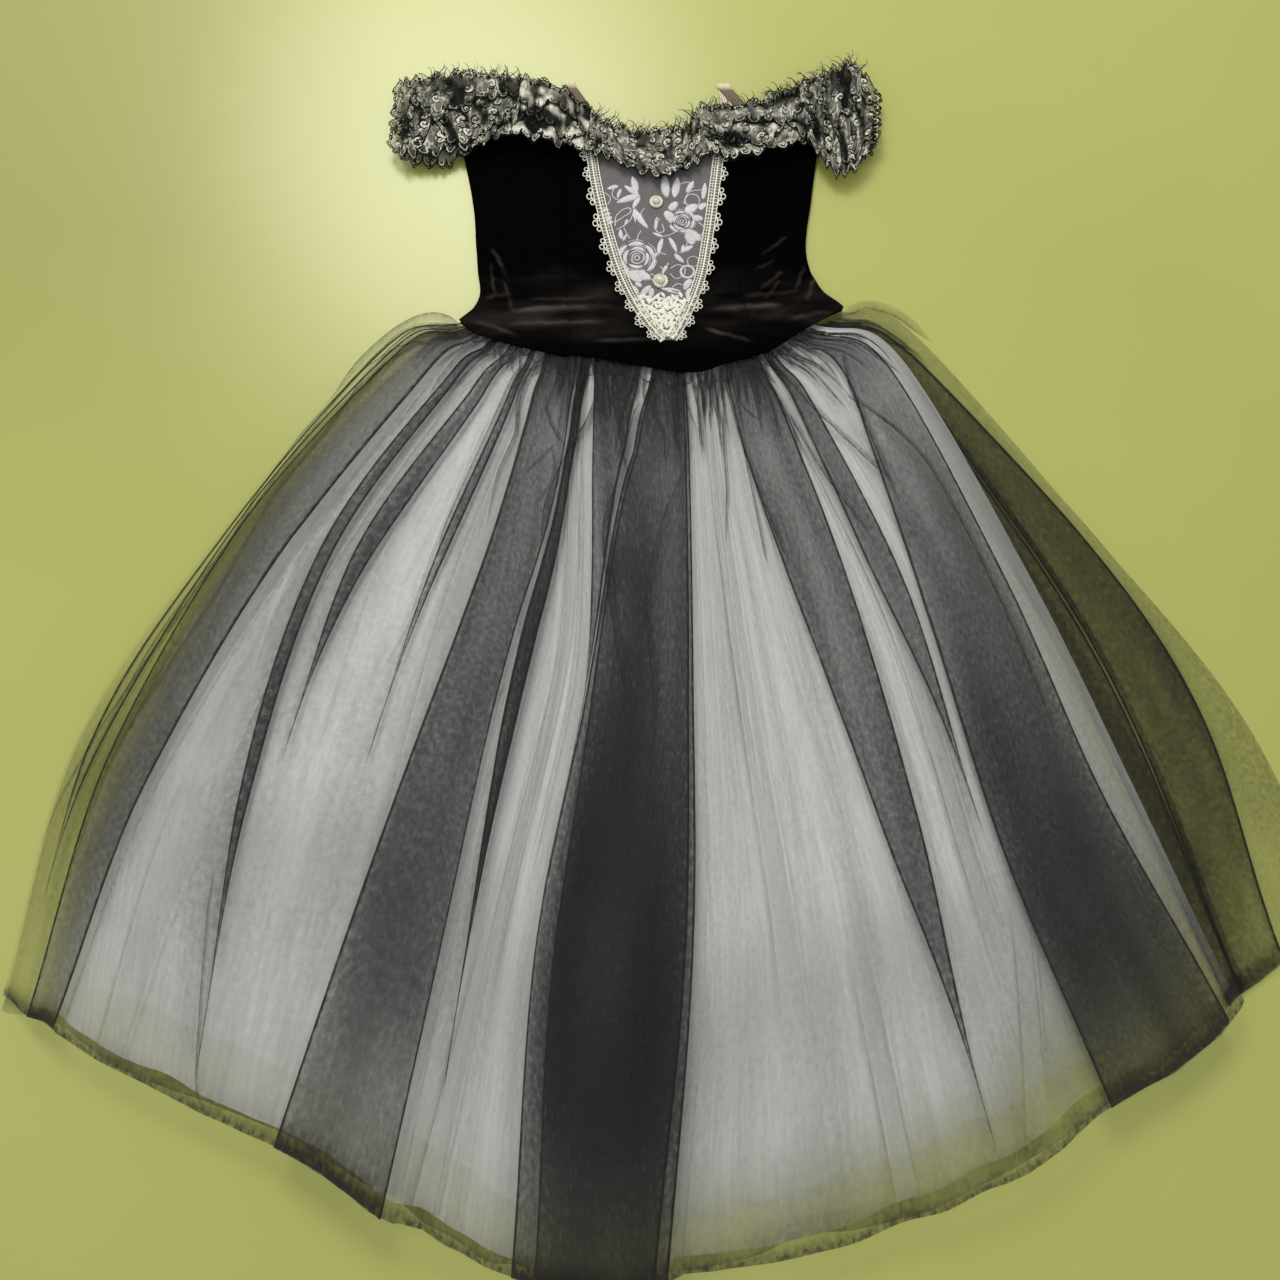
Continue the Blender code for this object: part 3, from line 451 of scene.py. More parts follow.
def how_hidden(cloth, lines, down, hides, plies, marks, seed):
    """The share of what lies behind that a ply hides: more in streaks down the cloth, and along a fold."""
    streaks = 0.6 * drift(11.0 * lines, 3.0 * down, seed) + 0.4 * drift(31.0 * lines, 7.0 * down, seed + 1)
    hidden = 1.0 - (1.0 - hides) ** (plies * (1.0 + cloth.streaks * 2.0 * streaks))
    return np.maximum(hidden, cloth.fold_hides * marks)


def edge_at(marks, down):
    """A side or a folded edge, from its guide line numbers at waist, middle and hem."""
    return float(between((0.0, 0.4, 1.0), marks, down))


def fold_shares(pleat, down):
    """How far a pleat's plies have slid over each other, and how far they have risen, there."""
    slid = 1.0
    risen = PLIES_PRESSED + (1.0 - PLIES_PRESSED) * risen_to(down)
    if pleat.end != 1.0 and down > pleat.end - 2.0 * FADE_STEP:
        slid = slid * (1.0 - smooth((down - pleat.end + 2.0 * FADE_STEP) / FADE_STEP))
        risen = risen * (1.0 - smooth((down - pleat.end + FADE_STEP) / FADE_STEP))
    return slid, risen


def pleat_columns(pleat, layer, seed, down):
    """Guide line numbers, heights over the lowest ply, fold marks and cover across a pleat from its left."""
    left, right = edge_at(pleat.left, down), edge_at(pleat.right, down)
    middle = (left + right) / 2.0
    metres = metres_a_line(middle, down)
    tapered = 0.0 if pleat.end == 1.0 else smooth((down - pleat.end + TAPER) / (TAPER - 2.0 * FADE_STEP))
    wide = max((right - left) * (1.0 - 0.95 * tapered), SLIMMEST_PLEAT / metres)
    left, right = middle - wide / 2.0, middle + wide / 2.0
    full = min(1.0, wide * metres / FULL_PLEAT)
    bend = full * layer.fold / 2.0 / metres
    near = min(NEAR_FOLD / metres, 0.2 * wide)
    columns, turns = [(left, 0.0, 0.0)], []
    for turn in range(pleat.plies - 1):
        inner = INNER_FOLDS[turn] * (1.0 + 0.7 * float(drift(seed + 7.3 * turn, 3.0 * down, 11))) * wide
        turns.append(left + inner if turn % 2 else right - inner)
    for turn, edge in enumerate(turns):
        side = -1.0 if turn % 2 else 1.0
        start = columns[-1][0] if turn == 0 else turns[turn - 1] + side * near
        for share in np.linspace(0.0, 1.0, PLY_COLUMNS + 2)[1:-1]:
            columns.append((start + (edge - side * near - start) * share, float(turn), 0.0))
        columns.append((edge - side * near, float(turn), 0.25))
        for angle in BEND_TURNS:
            out, up = math.cos(math.radians(angle)), math.sin(math.radians(angle))
            columns.append((edge + side * out * bend, turn + 0.5 + 0.5 * up, 1.0))
        columns.append((edge - side * near, turn + 1.0, 0.25))
    top = pleat.plies - 1.0
    past = right + full * PLY_PAST_FOLD / metres
    start = columns[-1][0]
    for share in np.linspace(0.0, 1.0, PLY_COLUMNS + 2)[1:]:
        columns.append((start + (past - start) * share, top, 0.0))
    for share in (0.25, 0.5, 0.75, 1.0):
        dropped = past + share * full * PLY_DROP / metres
        columns.append((dropped, top * float(1.0 - smooth(share)), 0.4 - abs(share - 0.5)))
    lines, rises, marks = np.array(columns).T
    spare = max(0.0, LEAST_PLEAT / metres - (lines[-1] - left)) / 2.0
    opened = np.linspace(left - spare, lines[-1] + spare, len(lines))
    slid, risen = fold_shares(pleat, down)
    folded_hides = pleat.hides + (pleat.hem_hides - pleat.hides) * smooth(down)
    hides = np.full(len(lines), layer.hides + (folded_hides - layer.hides) * slid)
    hides[-SINGLE_PLY:] = layer.hides
    return opened + (lines - opened) * slid, rises * layer.fold * risen * full, marks * slid, hides


def layer_row(layer, number, down):
    """A line of points across a layer: guide line numbers, rises, fold marks and what each ply hides."""
    pleats = PLEATS[layer.name]
    stops = [layer.left[1]]
    for pleat in pleats:
        stops += [pleat.left[1], pleat.right[1]]
    stops.append(layer.right[1])
    plain = [int((stops[k + 1] - stops[k]) * PLAIN_COLUMNS) for k in range(0, len(stops), 2)]
    columns = [np.array([[edge_at(layer.left, down)], [0.0], [0.0], [layer.hides]])]
    for which, pleat in enumerate(pleats):
        folded = np.array(pleat_columns(pleat, layer, 3.7 * which + 17.0 * number, down))
        nearest = min(folded[0].min(), edge_at(pleat.left, down))
        filler = np.linspace(columns[-1][0, -1], nearest, plain[which] + 2)[1:-1]
        columns += [plain_columns(filler, layer), folded]
    filler = np.linspace(columns[-1][0, -1], edge_at(layer.right, down), plain[-1] + 2)[1:]
    columns.append(plain_columns(filler, layer))
    return np.concatenate(columns, axis=1)


def plain_columns(lines, layer):
    return np.stack([lines, 0.0 * lines, 0.0 * lines, 0.0 * lines + layer.hides])


def ripples(lines, down):
    """Soft uneven folds that all the layers share, from 0 up."""
    sides = smooth(lines / 0.9) * smooth((7.2 - lines) / 0.9)
    long_folds = 0.5 + 0.5 * drift(2.6 * lines, 1.4 * down, 5)
    rumples = 0.5 + 0.5 * drift(8.0 * lines + 2.0 * down, 7.0 * down, 6)
    return sides * (RIPPLE * long_folds + RUMPLE * rumples) * smooth((down - GATHERED_FROM) / 0.25)


def puckers(lines, down, seed):
    """The gathers' small waves, which die away below the waist."""
    wander = 0.9 * drift(1.7 * lines, 0.0, seed) + 0.5 * drift(lines, 9.0 * down, seed + 1)
    phase = PUCKERS_A_LINE * lines + wander
    fading = 1.0 - smooth((down - 0.02) / 0.30)
    return PUCKER * gathers_full(lines) * fading * (0.5 - 0.5 * np.cos(2.0 * math.pi * phase))


def hem_wander(lines, down, seed):
    """How much further down the cloth reaches there: the raw hem isn't quite even."""
    waves = 0.009 * drift(2.2 * lines, 0.0, seed) + 0.005 * drift(5.3 * lines, 1.0, seed)
    return waves * smooth((down - 0.75) / 0.25)


def hem_reach(layer, number, lines, down):
    """The hem's wander, and how the long tulle sinks to the front net's hem at the left and middle."""
    if layer.name != "tulle_long":
        return hem_wander(lines, down, 21 + number)
    sunk = TULLE_REACH * (1.0 - 0.75 * smooth((lines - 4.2) / 1.6))
    return hem_wander(lines, down, 20 + len(LAYERS)) + sunk * smooth((down - 0.60) / 0.40)


skirt_pieces = {}
for number, layer in enumerate(LAYERS):
    cloth = SKIRT_CLOTHS[layer.cloth]
    short = (layer.length - FOLDED_FROM) / (1.0 - FOLDED_FROM)
    fall = np.append(np.linspace(FOLDED_FROM, 1.0, FALL_ROWS)[:-1], (1.0 - HEM_ROLL / SKIRT_LENGTH, 1.0))
    gathered = np.linspace(0.0, FOLDED_FROM, WAIST_ROWS)[:-1]
    downs = np.concatenate([gathered, FOLDED_FROM + (fall - FOLDED_FROM) * short])
    points, covers, cloths = [], [], []
    for down in downs:
        lines, rises, marks, hides = layer_row(layer, number, down)
        flat = plan(lines, down)
        fall_way = (flat - plan(lines, down - 0.01)) / 0.01
        flat = flat + fall_way * hem_reach(layer, number, lines, down / layer.length)[:, None]
        height = level(number, lines, down) + rises + layer.puff * ripples(lines, down)
        height = height + (0.35 + 0.65 * layer.puff) * puckers(lines, down, 31 + number) * (down > 0.0)
        points.append(np.column_stack([flat, height]))
        still = 0.0 * lines
        cloths.append(np.column_stack([CLOTH_A_LINE * lines, still + SKIRT_LENGTH * down, still + number]))
        if layer.cloth == "black net":
            rolled = FRONT_HEM_MARK if layer.name == "skirt_front_net" else BACK_HEM_MARK
            marks = np.maximum(marks, rolled * (down >= downs[-2]))
            side = SIDE_THIN + (SIDE_THIN_LOW - SIDE_THIN) * smooth((down - 0.45) / 0.35)
            hides = hides * (side + (1.0 - side) * smooth(lines / 0.9))
            hides = hides * (1.0 - NET_THIN * smooth((down - 0.80) / 0.20))
            hides = hides * (1.0 + HEM_DOUBLED * smooth((down - 0.970) / 0.020))
        else:
            if layer.name == "tulle_short":
                thin, thin_length = SHORT_TULLE_THIN, 1.25 * THIN_LENGTH
            else:
                thin = LEAST_THIN + (MOST_THIN - LEAST_THIN) * smooth((lines - 1.6) / 3.4)
                thin_length = THIN_LENGTH * (0.65 + 0.85 * smooth((lines - 5.2) / 1.0))
            hides = hides * (1.0 - thin * smooth((down - layer.length + thin_length) / thin_length))
            marks = marks * (1.0 - 0.9 * smooth((down - 0.60) / 0.20))
            from_right = smooth((edge_at(layer.right, down) - lines) / 0.30)
            from_left = smooth((lines - edge_at(layer.left, down)) / 0.40)
            hides = hides * (TULLE_RIGHT_EDGE + (1.0 - TULLE_RIGHT_EDGE) * from_right)
            hides = hides * (TULLE_LEFT_EDGE + (1.0 - TULLE_LEFT_EDGE) * from_left)
        plies = 1.0 + GATHERS_HIDE * (1.0 - smooth(down / 0.16))
        covers.append(how_hidden(cloth, lines, down, hides, plies, marks, 41 + 2 * number))
    faces = grid_faces(len(downs), len(points[0]))
    values = {"cover": np.concatenate(covers), "cloth": np.concatenate(cloths)}
    piece = add_mesh("layer_" + layer.name, np.concatenate(points), faces, cloth.material, values)
    skirt_pieces[layer.name] = piece
    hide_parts(layer.name)


# Loose tucks
# Narrow folds of the same nets that aren't pressed. The front net's run out of the gathers and across its
# pleats, and the short tulle's run down it. Each lies on the cloth under it, thickest along its folded edge.
# The short tulle's tucks wear a paler copy of the white tulle: a painted highlight along each fold.
Tuck = namedtuple("Tuck", "width hides path")
TUCKS_IN_MM = (
    Tuck(7, 0.55, ((-118, 592), (-129, 562), (-157, 488), (-184, 416), (-195, 375))),
    Tuck(6, 0.60, ((-94, 602), (-108, 583), (-120, 545), (-122, 508), (-138, 462), (-150, 392))),
    Tuck(6, 0.60, ((-93, 539), (-86, 518), (-72, 492))),
    Tuck(5, 0.55, ((-81, 497), (-99, 477), (-115, 459))),
    Tuck(5, 0.55, ((-86, 499), (-83, 463), (-104, 423))),
    Tuck(9, 0.62, ((-39, 562), (-52, 518), (-71, 481), (-88, 434), (-95, 375))),
    Tuck(12, 0.45, ((2, 550), (-6, 515), (-22, 448), (-32, 400), (-20, 300), (-8, 220))),
    Tuck(9, 0.45, ((47, 582), (47, 480), (26, 420), (8, 340), (14, 245), (10, 130))),
    Tuck(7, 0.55, ((20, 568), (14, 536), (25, 503), (25, 465))),
    Tuck(5, 0.60, ((78, 590), (84, 551), (83, 510), (85, 448), (81, 379))),
    Tuck(4, 0.55, ((98, 546), (106, 532), (119, 521))),
    Tuck(6, 0.60, ((113, 598), (129, 549), (139, 500))),
    Tuck(6, 0.60, ((123, 575), (145, 532), (154, 499), (158, 468))),
    Tuck(5, 0.55, ((100, 508), (110, 448), (118, 399), (122, 370))),
    Tuck(7, 0.60, ((85, 583), (100, 506), (128, 416), (143, 370))),
    Tuck(8, 0.62, ((131, 598), (153, 562), (176, 532), (215, 492), (255, 444))),
    Tuck(7, 0.60, ((146, 532), (174, 477), (226, 388))),
    Tuck(8, 0.62, ((203, 602), (211, 559), (232, 492), (253, 424))),
    Tuck(6, 0.60, ((204, 552), (228, 533), (258, 508))),
    Tuck(6, 0.55, ((194, 630), (226, 602), (262, 571))),
    Tuck(6, 0.50, ((-182, 625), (-246, 588), (-280, 549))),
    Tuck(6, 0.50, ((-138, 617), (-176, 567), (-213, 532), (-248, 477), (-274, 440))),
    Tuck(5, 0.50, ((-240, 640), (-330, 500), (-430, 330), (-520, 180), (-550, 100))),
    Tuck(6, 0.60, ((222, 541), (274, 487), (308, 420), (340, 339), (366, 262), (385, 190))),
    Tuck(5, 0.50, ((-255, 608), (-340, 510), (-390, 400), (-455, 300), (-505, 190))),
    Tuck(5, 0.50, ((-262, 596), (-300, 520), (-355, 435), (-400, 340), (-462, 225), (-500, 140))),
    Tuck(4, 0.55, ((-379, 90), (-381, 35), (-380, -44), (-377, -100), (-366, -118))),
    Tuck(14, 0.28, ((-184, 640), (-214, 650), (-246, 636), (-282, 600), (-318, 548))),
    Tuck(11, 0.30, ((-180, 634), (-226, 634), (-262, 606), (-300, 556))),
    Tuck(6, 0.45, ((-172, 632), (-205, 622), (-240, 592), (-262, 560))),
    Tuck(5, 0.50, ((-205, 604), (-232, 606), (-262, 590), (-290, 574))),
    Tuck(14, 0.30, ((209, 654), (236, 664), (268, 652), (302, 618))),
    Tuck(10, 0.36, ((206, 646), (240, 640), (272, 616), (300, 582))),
    Tuck(6, 0.50, ((190, 640), (222, 628), (256, 622), (290, 606))),
)
TUCK_STEP = 0.006
TUCK_SECTION = (
    (-0.36, 0.10, 0.20), (-0.26, 0.50, 0.45), (-0.07, 0.80, 0.55), (0.14, 1.00, 0.65), (0.30, 0.80, 1.20),
    (0.36, 0.35, 1.40), (0.32, 0.05, 1.20),
)
TUCK_HEIGHT = 0.0015
GATHER_TUCKS, SEAM_TUCKS, TULLE_TUCKS = 120, 34, 34
TUCK_START = 0.004
QUARTERS = (0.0, 0.25, 0.5, 0.75, 1.0)


def look_down_on(thing):
    """A piece's faces, ready to be met by straight lines."""
    corners = [vertex.co.copy() for vertex in thing.data.vertices]
    return BVHTree.FromPolygons(corners, [tuple(face.vertices) for face in thing.data.polygons])


def top_heights(below, places):
    """Height of the top of what lies below at plan points."""
    heights = []
    for x, y in np.asarray(places) + PLAN_TO_PART[:2]:
        spot = below.ray_cast((x, y, 0.3), (0.0, 0.0, -1.0))[0]
        heights.append(spot.z if spot else 0.0)
    return np.array(heights)


def across_path(path):
    """Unit steps to the right of a path of plan points."""
    run = np.gradient(path, axis=0)
    run = run / np.hypot(run[:, 0], run[:, 1])[:, None]
    return np.column_stack([-run[:, 1], run[:, 0]]) * -1.0


def lay_tucks(name, tucks, below, cloth):
    """One piece of narrow folds that lie on the piece below them."""
    surface = look_down_on(below)
    points, faces, covers = [], [], []
    for tuck in tucks:
        length = sum(math.dist(tuck.path[k], tuck.path[k + 1]) for k in range(len(tuck.path) - 1))
        steps = max(8, round(length / TUCK_STEP))
        shares = np.linspace(0.0, 1.0, steps + 1)
        path = spline(tuck.path, shares * (len(tuck.path) - 1))
        ends = (smooth(shares / 0.12) * smooth((1.0 - shares) / 0.25)) ** 0.7
        offsets, rises, shades = np.array(TUCK_SECTION).T
        aside = offsets[None, :, None] * tuck.width * ends[:, None, None]
        places = path[:, None, :] + across_path(path)[:, None, :] * aside
        heights = top_heights(surface, places.reshape(-1, 2)).reshape(steps + 1, -1)
        heights = heights + 0.0004 + TUCK_HEIGHT * rises * ends[:, None]
        faces.append(sum(len(some) for some in points) + grid_faces(steps + 1, len(offsets)))
        points.append(np.concatenate([places, heights[:, :, None]], axis=2).reshape(-1, 3))
        covers.append((tuck.hides * shades * (0.35 + 0.65 * ends[:, None])).ravel())
    points = np.concatenate(points)
    values = {"cover": np.concatenate(covers), "cloth": points}
    piece = add_mesh(name, points, np.concatenate(faces), cloth, values)
    return piece


def chance(number, seed):
    """A number from -1 to 1 for a piece's number, the same each run."""
    return float(drift(1.37 * number + 0.5, 0.5, seed))


gathers = [Tuck(0.001 * tuck.width, tuck.hides, 0.001 * np.array(tuck.path)) for tuck in TUCKS_IN_MM]
for k in range(GATHER_TUCKS):
    line = 0.15 + 7.6 * (k + 0.5) / GATHER_TUCKS + 0.08 * chance(k, 61)
    reach = 0.060 + 0.120 * abs(chance(k, 62))
    lean, bow = 0.34 * chance(k, 63), 0.12 * chance(k, 64)
    path = [plan(line + lean * s + bow * math.sin(math.pi * s), TUCK_START + reach * s) for s in QUARTERS]
    gathers.append(Tuck(0.0042 + 0.0026 * abs(chance(k, 65)), 0.60 + 0.16 * chance(k, 66), path))
for k in range(SEAM_TUCKS):
    line = 0.90 + 6.1 * (k + 0.5) / SEAM_TUCKS + 0.10 * chance(k, 67)
    wide, deep = 0.20 + 0.16 * chance(k, 68), 0.026 + 0.016 * chance(k, 69)
    path = [plan(line + wide * s, TUCK_START + deep * math.sin(math.pi * s)) for s in QUARTERS]
    gathers.append(Tuck(0.0050, 0.60, path))
net_tucks = lay_tucks("net_tucks", gathers, skirt_pieces["skirt_front_net"], black_net)
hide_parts("skirt_front_net")

runs = []
for k in range(TULLE_TUCKS):
    line = 1.0 + 5.6 * (k + 0.5) / TULLE_TUCKS + 0.12 * chance(k, 51)
    start, stop = 0.12 + 0.10 * abs(chance(k, 52)), 0.66 + 0.14 * chance(k, 53)
    lean = 0.30 * chance(k, 54)
    path = [plan(line + lean * s * s, start + (stop - start) * s) for s in QUARTERS]
    runs.append(Tuck(0.0052 + 0.0020 * chance(k, 55), 0.62, path))
# Painted highlight: the tulle's tucks are a brighter copy of the white tulle.
TUCK_HIGHLIGHT_GREY, TUCK_HIGHLIGHT_WHITE = (0.880, 0.870, 0.862, 1.0), (0.960, 0.950, 0.942, 1.0)
tulle_tuck_highlight = net_material(
    "folded tulle", TUCK_HIGHLIGHT_GREY, TUCK_HIGHLIGHT_WHITE, sheen=0.10, unevenness=0.10, along_grain=0.05
)
tulle_tucks = lay_tucks("tulle_tucks", runs, skirt_pieces["tulle_short"], tulle_tuck_highlight)
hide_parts("tulle_short")


# Bodice
# Black velvet: a flat back, and a front of three panels joined by princess seams. The front's lower edge
# climbs over the skirt's gathers in soft ridges, with a brown painted sheen on them and over the basque.
SideSeams = namedtuple("SideSeams", "y left right")
SIDE_SEAMS = (
    SideSeams(0.642, -0.185, 0.209),
    SideSeams(0.656, -0.171, 0.209),
    SideSeams(0.675, -0.165, 0.190),
    SideSeams(0.700, -0.168, 0.177),
    SideSeams(0.730, -0.171, 0.173),
    SideSeams(0.780, -0.176, 0.180),
    SideSeams(0.848, -0.190, 0.190),
)
SEAM_Y = [row.y for row in SIDE_SEAMS]
NECK_EDGE = (
    (-0.190, 0.848), (-0.130, 0.868), (-0.060, 0.852), (0.018, 0.842),
    (0.085, 0.852), (0.140, 0.868), (0.190, 0.848),
)
PRINCESS_LEFT, PRINCESS_RIGHT = 0.275, 0.730
VELVET_WALL = 0.0025
LIP, LIP_LIFT, LOFT = 0.007, 0.0016, 0.0034
BACK_CLEAR = 0.0010
RISE_OVER_SKIRT = 0.055
BODICE_WIDTH = 0.36
PANEL_ROWS, PANEL_COLUMNS = 170, 240
SEAM_SINK, SEAM_SINK_WIDTH = 0.0011, 0.0026
SHEEN_RIDGE_HEIGHT = 0.0034
BASQUE_PAINTED_SHEEN = 0.155
Crease = namedtuple("Crease", "x0 y0 x1 y1 width height")
CREASES = (
    Crease(-0.140, 0.650, -0.022, 0.658, 0.0060, 0.0030),
    Crease(-0.150, 0.632, -0.030, 0.640, 0.0050, 0.0020),
    Crease(0.068, 0.652, 0.150, 0.660, 0.0060, 0.0030),
    Crease(-0.050, 0.615, 0.030, 0.617, 0.0045, 0.0020),
    Crease(0.062, 0.632, 0.115, 0.614, 0.0045, 0.0022),
    Crease(-0.120, 0.664, -0.040, 0.667, 0.0035, 0.0012),
    Crease(0.100, 0.668, 0.168, 0.676, 0.0045, 0.0018),
    Crease(0.122, 0.676, 0.150, 0.700, 0.0030, 0.0017),
    Crease(0.124, 0.716, 0.156, 0.741, 0.0026, 0.0018),
    Crease(0.118, 0.700, 0.142, 0.712, 0.0024, 0.0012),
    Crease(0.128, 0.664, 0.146, 0.690, 0.0024, 0.0016),
    Crease(0.158, 0.672, 0.172, 0.708, 0.0028, 0.0015),
    Crease(-0.148, 0.668, -0.156, 0.712, 0.0030, 0.0014),
    Crease(-0.128, 0.648, -0.142, 0.690, 0.0032, 0.0014),
    Crease(0.150, 0.640, 0.200, 0.650, 0.0050, 0.0020),
    Crease(-0.157, 0.730, -0.136, 0.690, 0.0040, 0.0014),
    Crease(-0.160, 0.668, -0.130, 0.672, 0.0050, 0.0016),
    Crease(0.170, 0.662, 0.184, 0.700, 0.0045, 0.0016),
    Crease(-0.175, 0.640, -0.120, 0.618, 0.0050, 0.0016),
)


def line_at(x):
    """The guide line number whose gathered end is nearest to x."""
    return np.interp(x, WAIST_X, range(len(WAIST_X)))


def side_x(y, column):
    return between(SEAM_Y, [getattr(row, column) for row in SIDE_SEAMS], np.clip(y, SEAM_Y[0], SEAM_Y[-1]))


def creases(x, y, narrowed=1.0):
    """Height of the soft ridges at a point of the velvet."""
    total = 0.0
    for crease in CREASES:
        run_x, run_y = crease.x1 - crease.x0, crease.y1 - crease.y0
        length = math.hypot(run_x, run_y)
        along = ((x - crease.x0) * run_x + (y - crease.y0) * run_y) / length**2
        aside = ((x - crease.x0) * run_y - (y - crease.y0) * run_x) / length
        aside = aside + 0.0015 * drift(9.0 * along + crease.x0 * 50.0, 0.5, 71)
        fade = smooth(along / 0.25) * smooth((1.0 - along) / 0.25)
        total = total + crease.height * fade * np.exp(-((aside / crease.width / narrowed) ** 2))
    return total


def velvet_height(x, y):
    """Height of the middle of the velvet front: it lies on the back and climbs over the skirt's gathers."""
    left, right = side_x(y, "left"), side_x(y, "right")
    across = np.clip((x - left) / (right - left), 0.0, 1.0)
    body = VELVET_WALL + SEAM + VELVET_WALL / 2 + LOFT * (1.0 - np.abs(2.0 * across - 1.0) ** 2.5)
    line = line_at(x)
    top_layer = len(LAYERS) - 1
    gathers = level(top_layer, line, 0.0) + LAYERS[top_layer].gather * gathers_full(line) + NET_WALL / 2
    over_skirt = gathers + LIP_LIFT + VELVET_WALL / 2
    above_edge = y - np.interp(x, WAIST_X, WAIST_Y) + LIP
    rise = 1.0 - smooth(above_edge / RISE_OVER_SKIRT)
    return body + (over_skirt - body) * rise + creases(x, y)


def side_point(column, up):
    corner = WAIST_Y[0] if column == "left" else WAIST_Y[-1]
    y = corner + (SEAM_Y[-1] - corner) * up
    return np.array([float(side_x(y, column)), y])


def panel_row(across, up, drop):
    """A row of plan points of the bodice, filled in between its lower edge, neck edge and two side seams."""
    line = across * LAST_LINE
    bottom = plan(line, 0.0)
    bottom[:, 1] -= drop * gathers_full(line) ** 0.5
    top = spline(NECK_EDGE, across * (len(NECK_EDGE) - 1))
    across = across[:, None]
    left, right = side_point("left", up), side_point("right", up)
    left_end = (1 - up) * side_point("left", 0.0) + up * side_point("left", 1.0)
    right_end = (1 - up) * side_point("right", 0.0) + up * side_point("right", 1.0)
    corners = (1 - across) * left_end + across * right_end
    return (1 - up) * bottom + up * top + (1 - across) * left + across * right - corners


def give_wall(thing, wall, soft_edge):
    """Turns a surface into a closed wall, half on each side of it, with its rims rounded."""
    solidify = thing.modifiers.new("wall", "SOLIDIFY")
    solidify.thickness = wall
    solidify.offset = 0.0
    solidify.use_rim = True
    bevel = thing.modifiers.new("soft edge", "BEVEL")
    bevel.width = soft_edge
    bevel.segments = 2
    bevel.limit_method = "ANGLE"
    bevel.angle_limit = math.radians(60)


velvet, tree, shader = start_material("black velvet", {
    "Roughness": 0.60, "Specular IOR Level": 0.004, "Sheen Weight": 0.0006, "Sheen Roughness": 0.30,
    "Sheen Tint": (0.80, 0.66, 0.60, 1.0),
})
velvet_place = put(tree, "ShaderNodeTexCoord", {}).outputs["Object"]
# Painted sheen: a brown highlight on the ridges and over the basque, painted into the base colour.
crushed = put(tree, "ShaderNodeAttribute", {}, attribute_name="crushed").outputs["Fac"]
velvet_nap = spread(tree, noise(tree, stretch(tree, velvet_place, (1.0, 2.6, 1.0)), 26.0, 3.0), 0.36, 0.66)
velvet_pile = noise(tree, velvet_place, 1400.0, 1.0)
velvet_dark = mix_colour(tree, velvet_pile, (0.0004, 0.0004, 0.0004, 1.0), (0.0018, 0.0016, 0.0015, 1.0))
painted_sheen_patches = calc(tree, "MULTIPLY", crushed, spread(tree, velvet_nap, 0.0, 1.0, 0.35, 1.25))
velvet_pile_and_sheen = mix_colour(tree, painted_sheen_patches, velvet_dark, (0.0600, 0.0500, 0.0440, 1.0))
tree.links.new(velvet_pile_and_sheen, shader.inputs["Base Color"])
bump(tree, shader, velvet_pile, 0.0004, 0.5)

seam_half = SEAM / 2 / BODICE_WIDTH
VelvetPanel = namedtuple("VelvetPanel", "name start stop flat_width flat_length area")
VELVET_PANELS = (
    VelvetPanel("side_left", 0.0, PRINCESS_LEFT - seam_half, 0.125, 0.240, 0.0250),
    VelvetPanel("bodice_front", PRINCESS_LEFT + seam_half, PRINCESS_RIGHT - seam_half, 0.185, 0.270, 0.0420),
    VelvetPanel("side_right", PRINCESS_RIGHT + seam_half, 1.0, 0.130, 0.240, 0.0250),
)
for panel in VELVET_PANELS:
    columns = round((panel.stop - panel.start) * PANEL_COLUMNS)
    across = np.linspace(panel.start, panel.stop, columns + 1)
    seam_near = np.minimum(across - panel.start, panel.stop - across) * BODICE_WIDTH
    rows, painted_sheen_rows = [], []
    for up in np.linspace(1.0, 0.0, PANEL_ROWS):
        x, y = panel_row(across, up, LIP).T
        sunk = SEAM_SINK * np.exp(-((seam_near / SEAM_SINK_WIDTH) ** 2))
        rows.append(np.column_stack([x, y, velvet_height(x, y) - sunk]))
        # Painted sheen: highlights along the ridges, and a streaked band of sheen over the basque.
        swayed = y + 0.010 * drift(22.0 * x, 30.0 * y, 73)
        basque_sheen_band = smooth((0.706 - swayed) / 0.040) * smooth((swayed - 0.610) / 0.03)
        painted_sheen_folds = 0.6 * drift(9.0 * x, 70.0 * y + 12.0 * np.abs(x), 74)
        painted_sheen_folds = painted_sheen_folds + 0.4 * drift(22.0 * x, 130.0 * y, 75)
        painted_sheen_rows.append(creases(x, y, 0.40) / SHEEN_RIDGE_HEIGHT + BASQUE_PAINTED_SHEEN * basque_sheen_band * (1.0 + 1.3 * painted_sheen_folds))
    faces = grid_faces(PANEL_ROWS, columns + 1)
    piece = add_mesh(panel.name + "_velvet", rows, faces, velvet, {"crushed": np.clip(painted_sheen_rows, 0.0, 1.0)})
    give_wall(piece, VELVET_WALL, 0.0008)
    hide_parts(panel.name)

across = np.linspace(0.0, 1.0, 49)
rows = []
for up in np.linspace(1.0, 0.0, 30):
    x, y = panel_row(across, up, 0.0).T
    rows.append(np.column_stack([x, y + BACK_CLEAR * (1 - up), np.full(len(x), VELVET_WALL / 2)]))
bodice_back = add_mesh("bodice_back_velvet", rows, grid_faces(30, 49), velvet)
give_wall(bodice_back, VELVET_WALL, 0.0008)
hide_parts("bodice_back")


# Stomacher
# A long point of fine grey net on the velvet, worked with roses, leaves and stems in white thread, and
# closely filled with cream thread at its tip.
STOMACHER = (
    (0.848, -0.054, 0.086), (0.800, -0.047, 0.080), (0.740, -0.034, 0.072),
    (0.690, -0.019, 0.063), (0.650, 0.000, 0.049), (0.617, 0.023, 0.033),
)
GUIPURE_WALL = 0.0010
STOMACHER_LIFT = 0.0006
STOMACHER_ROWS, STOMACHER_COLUMNS = 96, 49


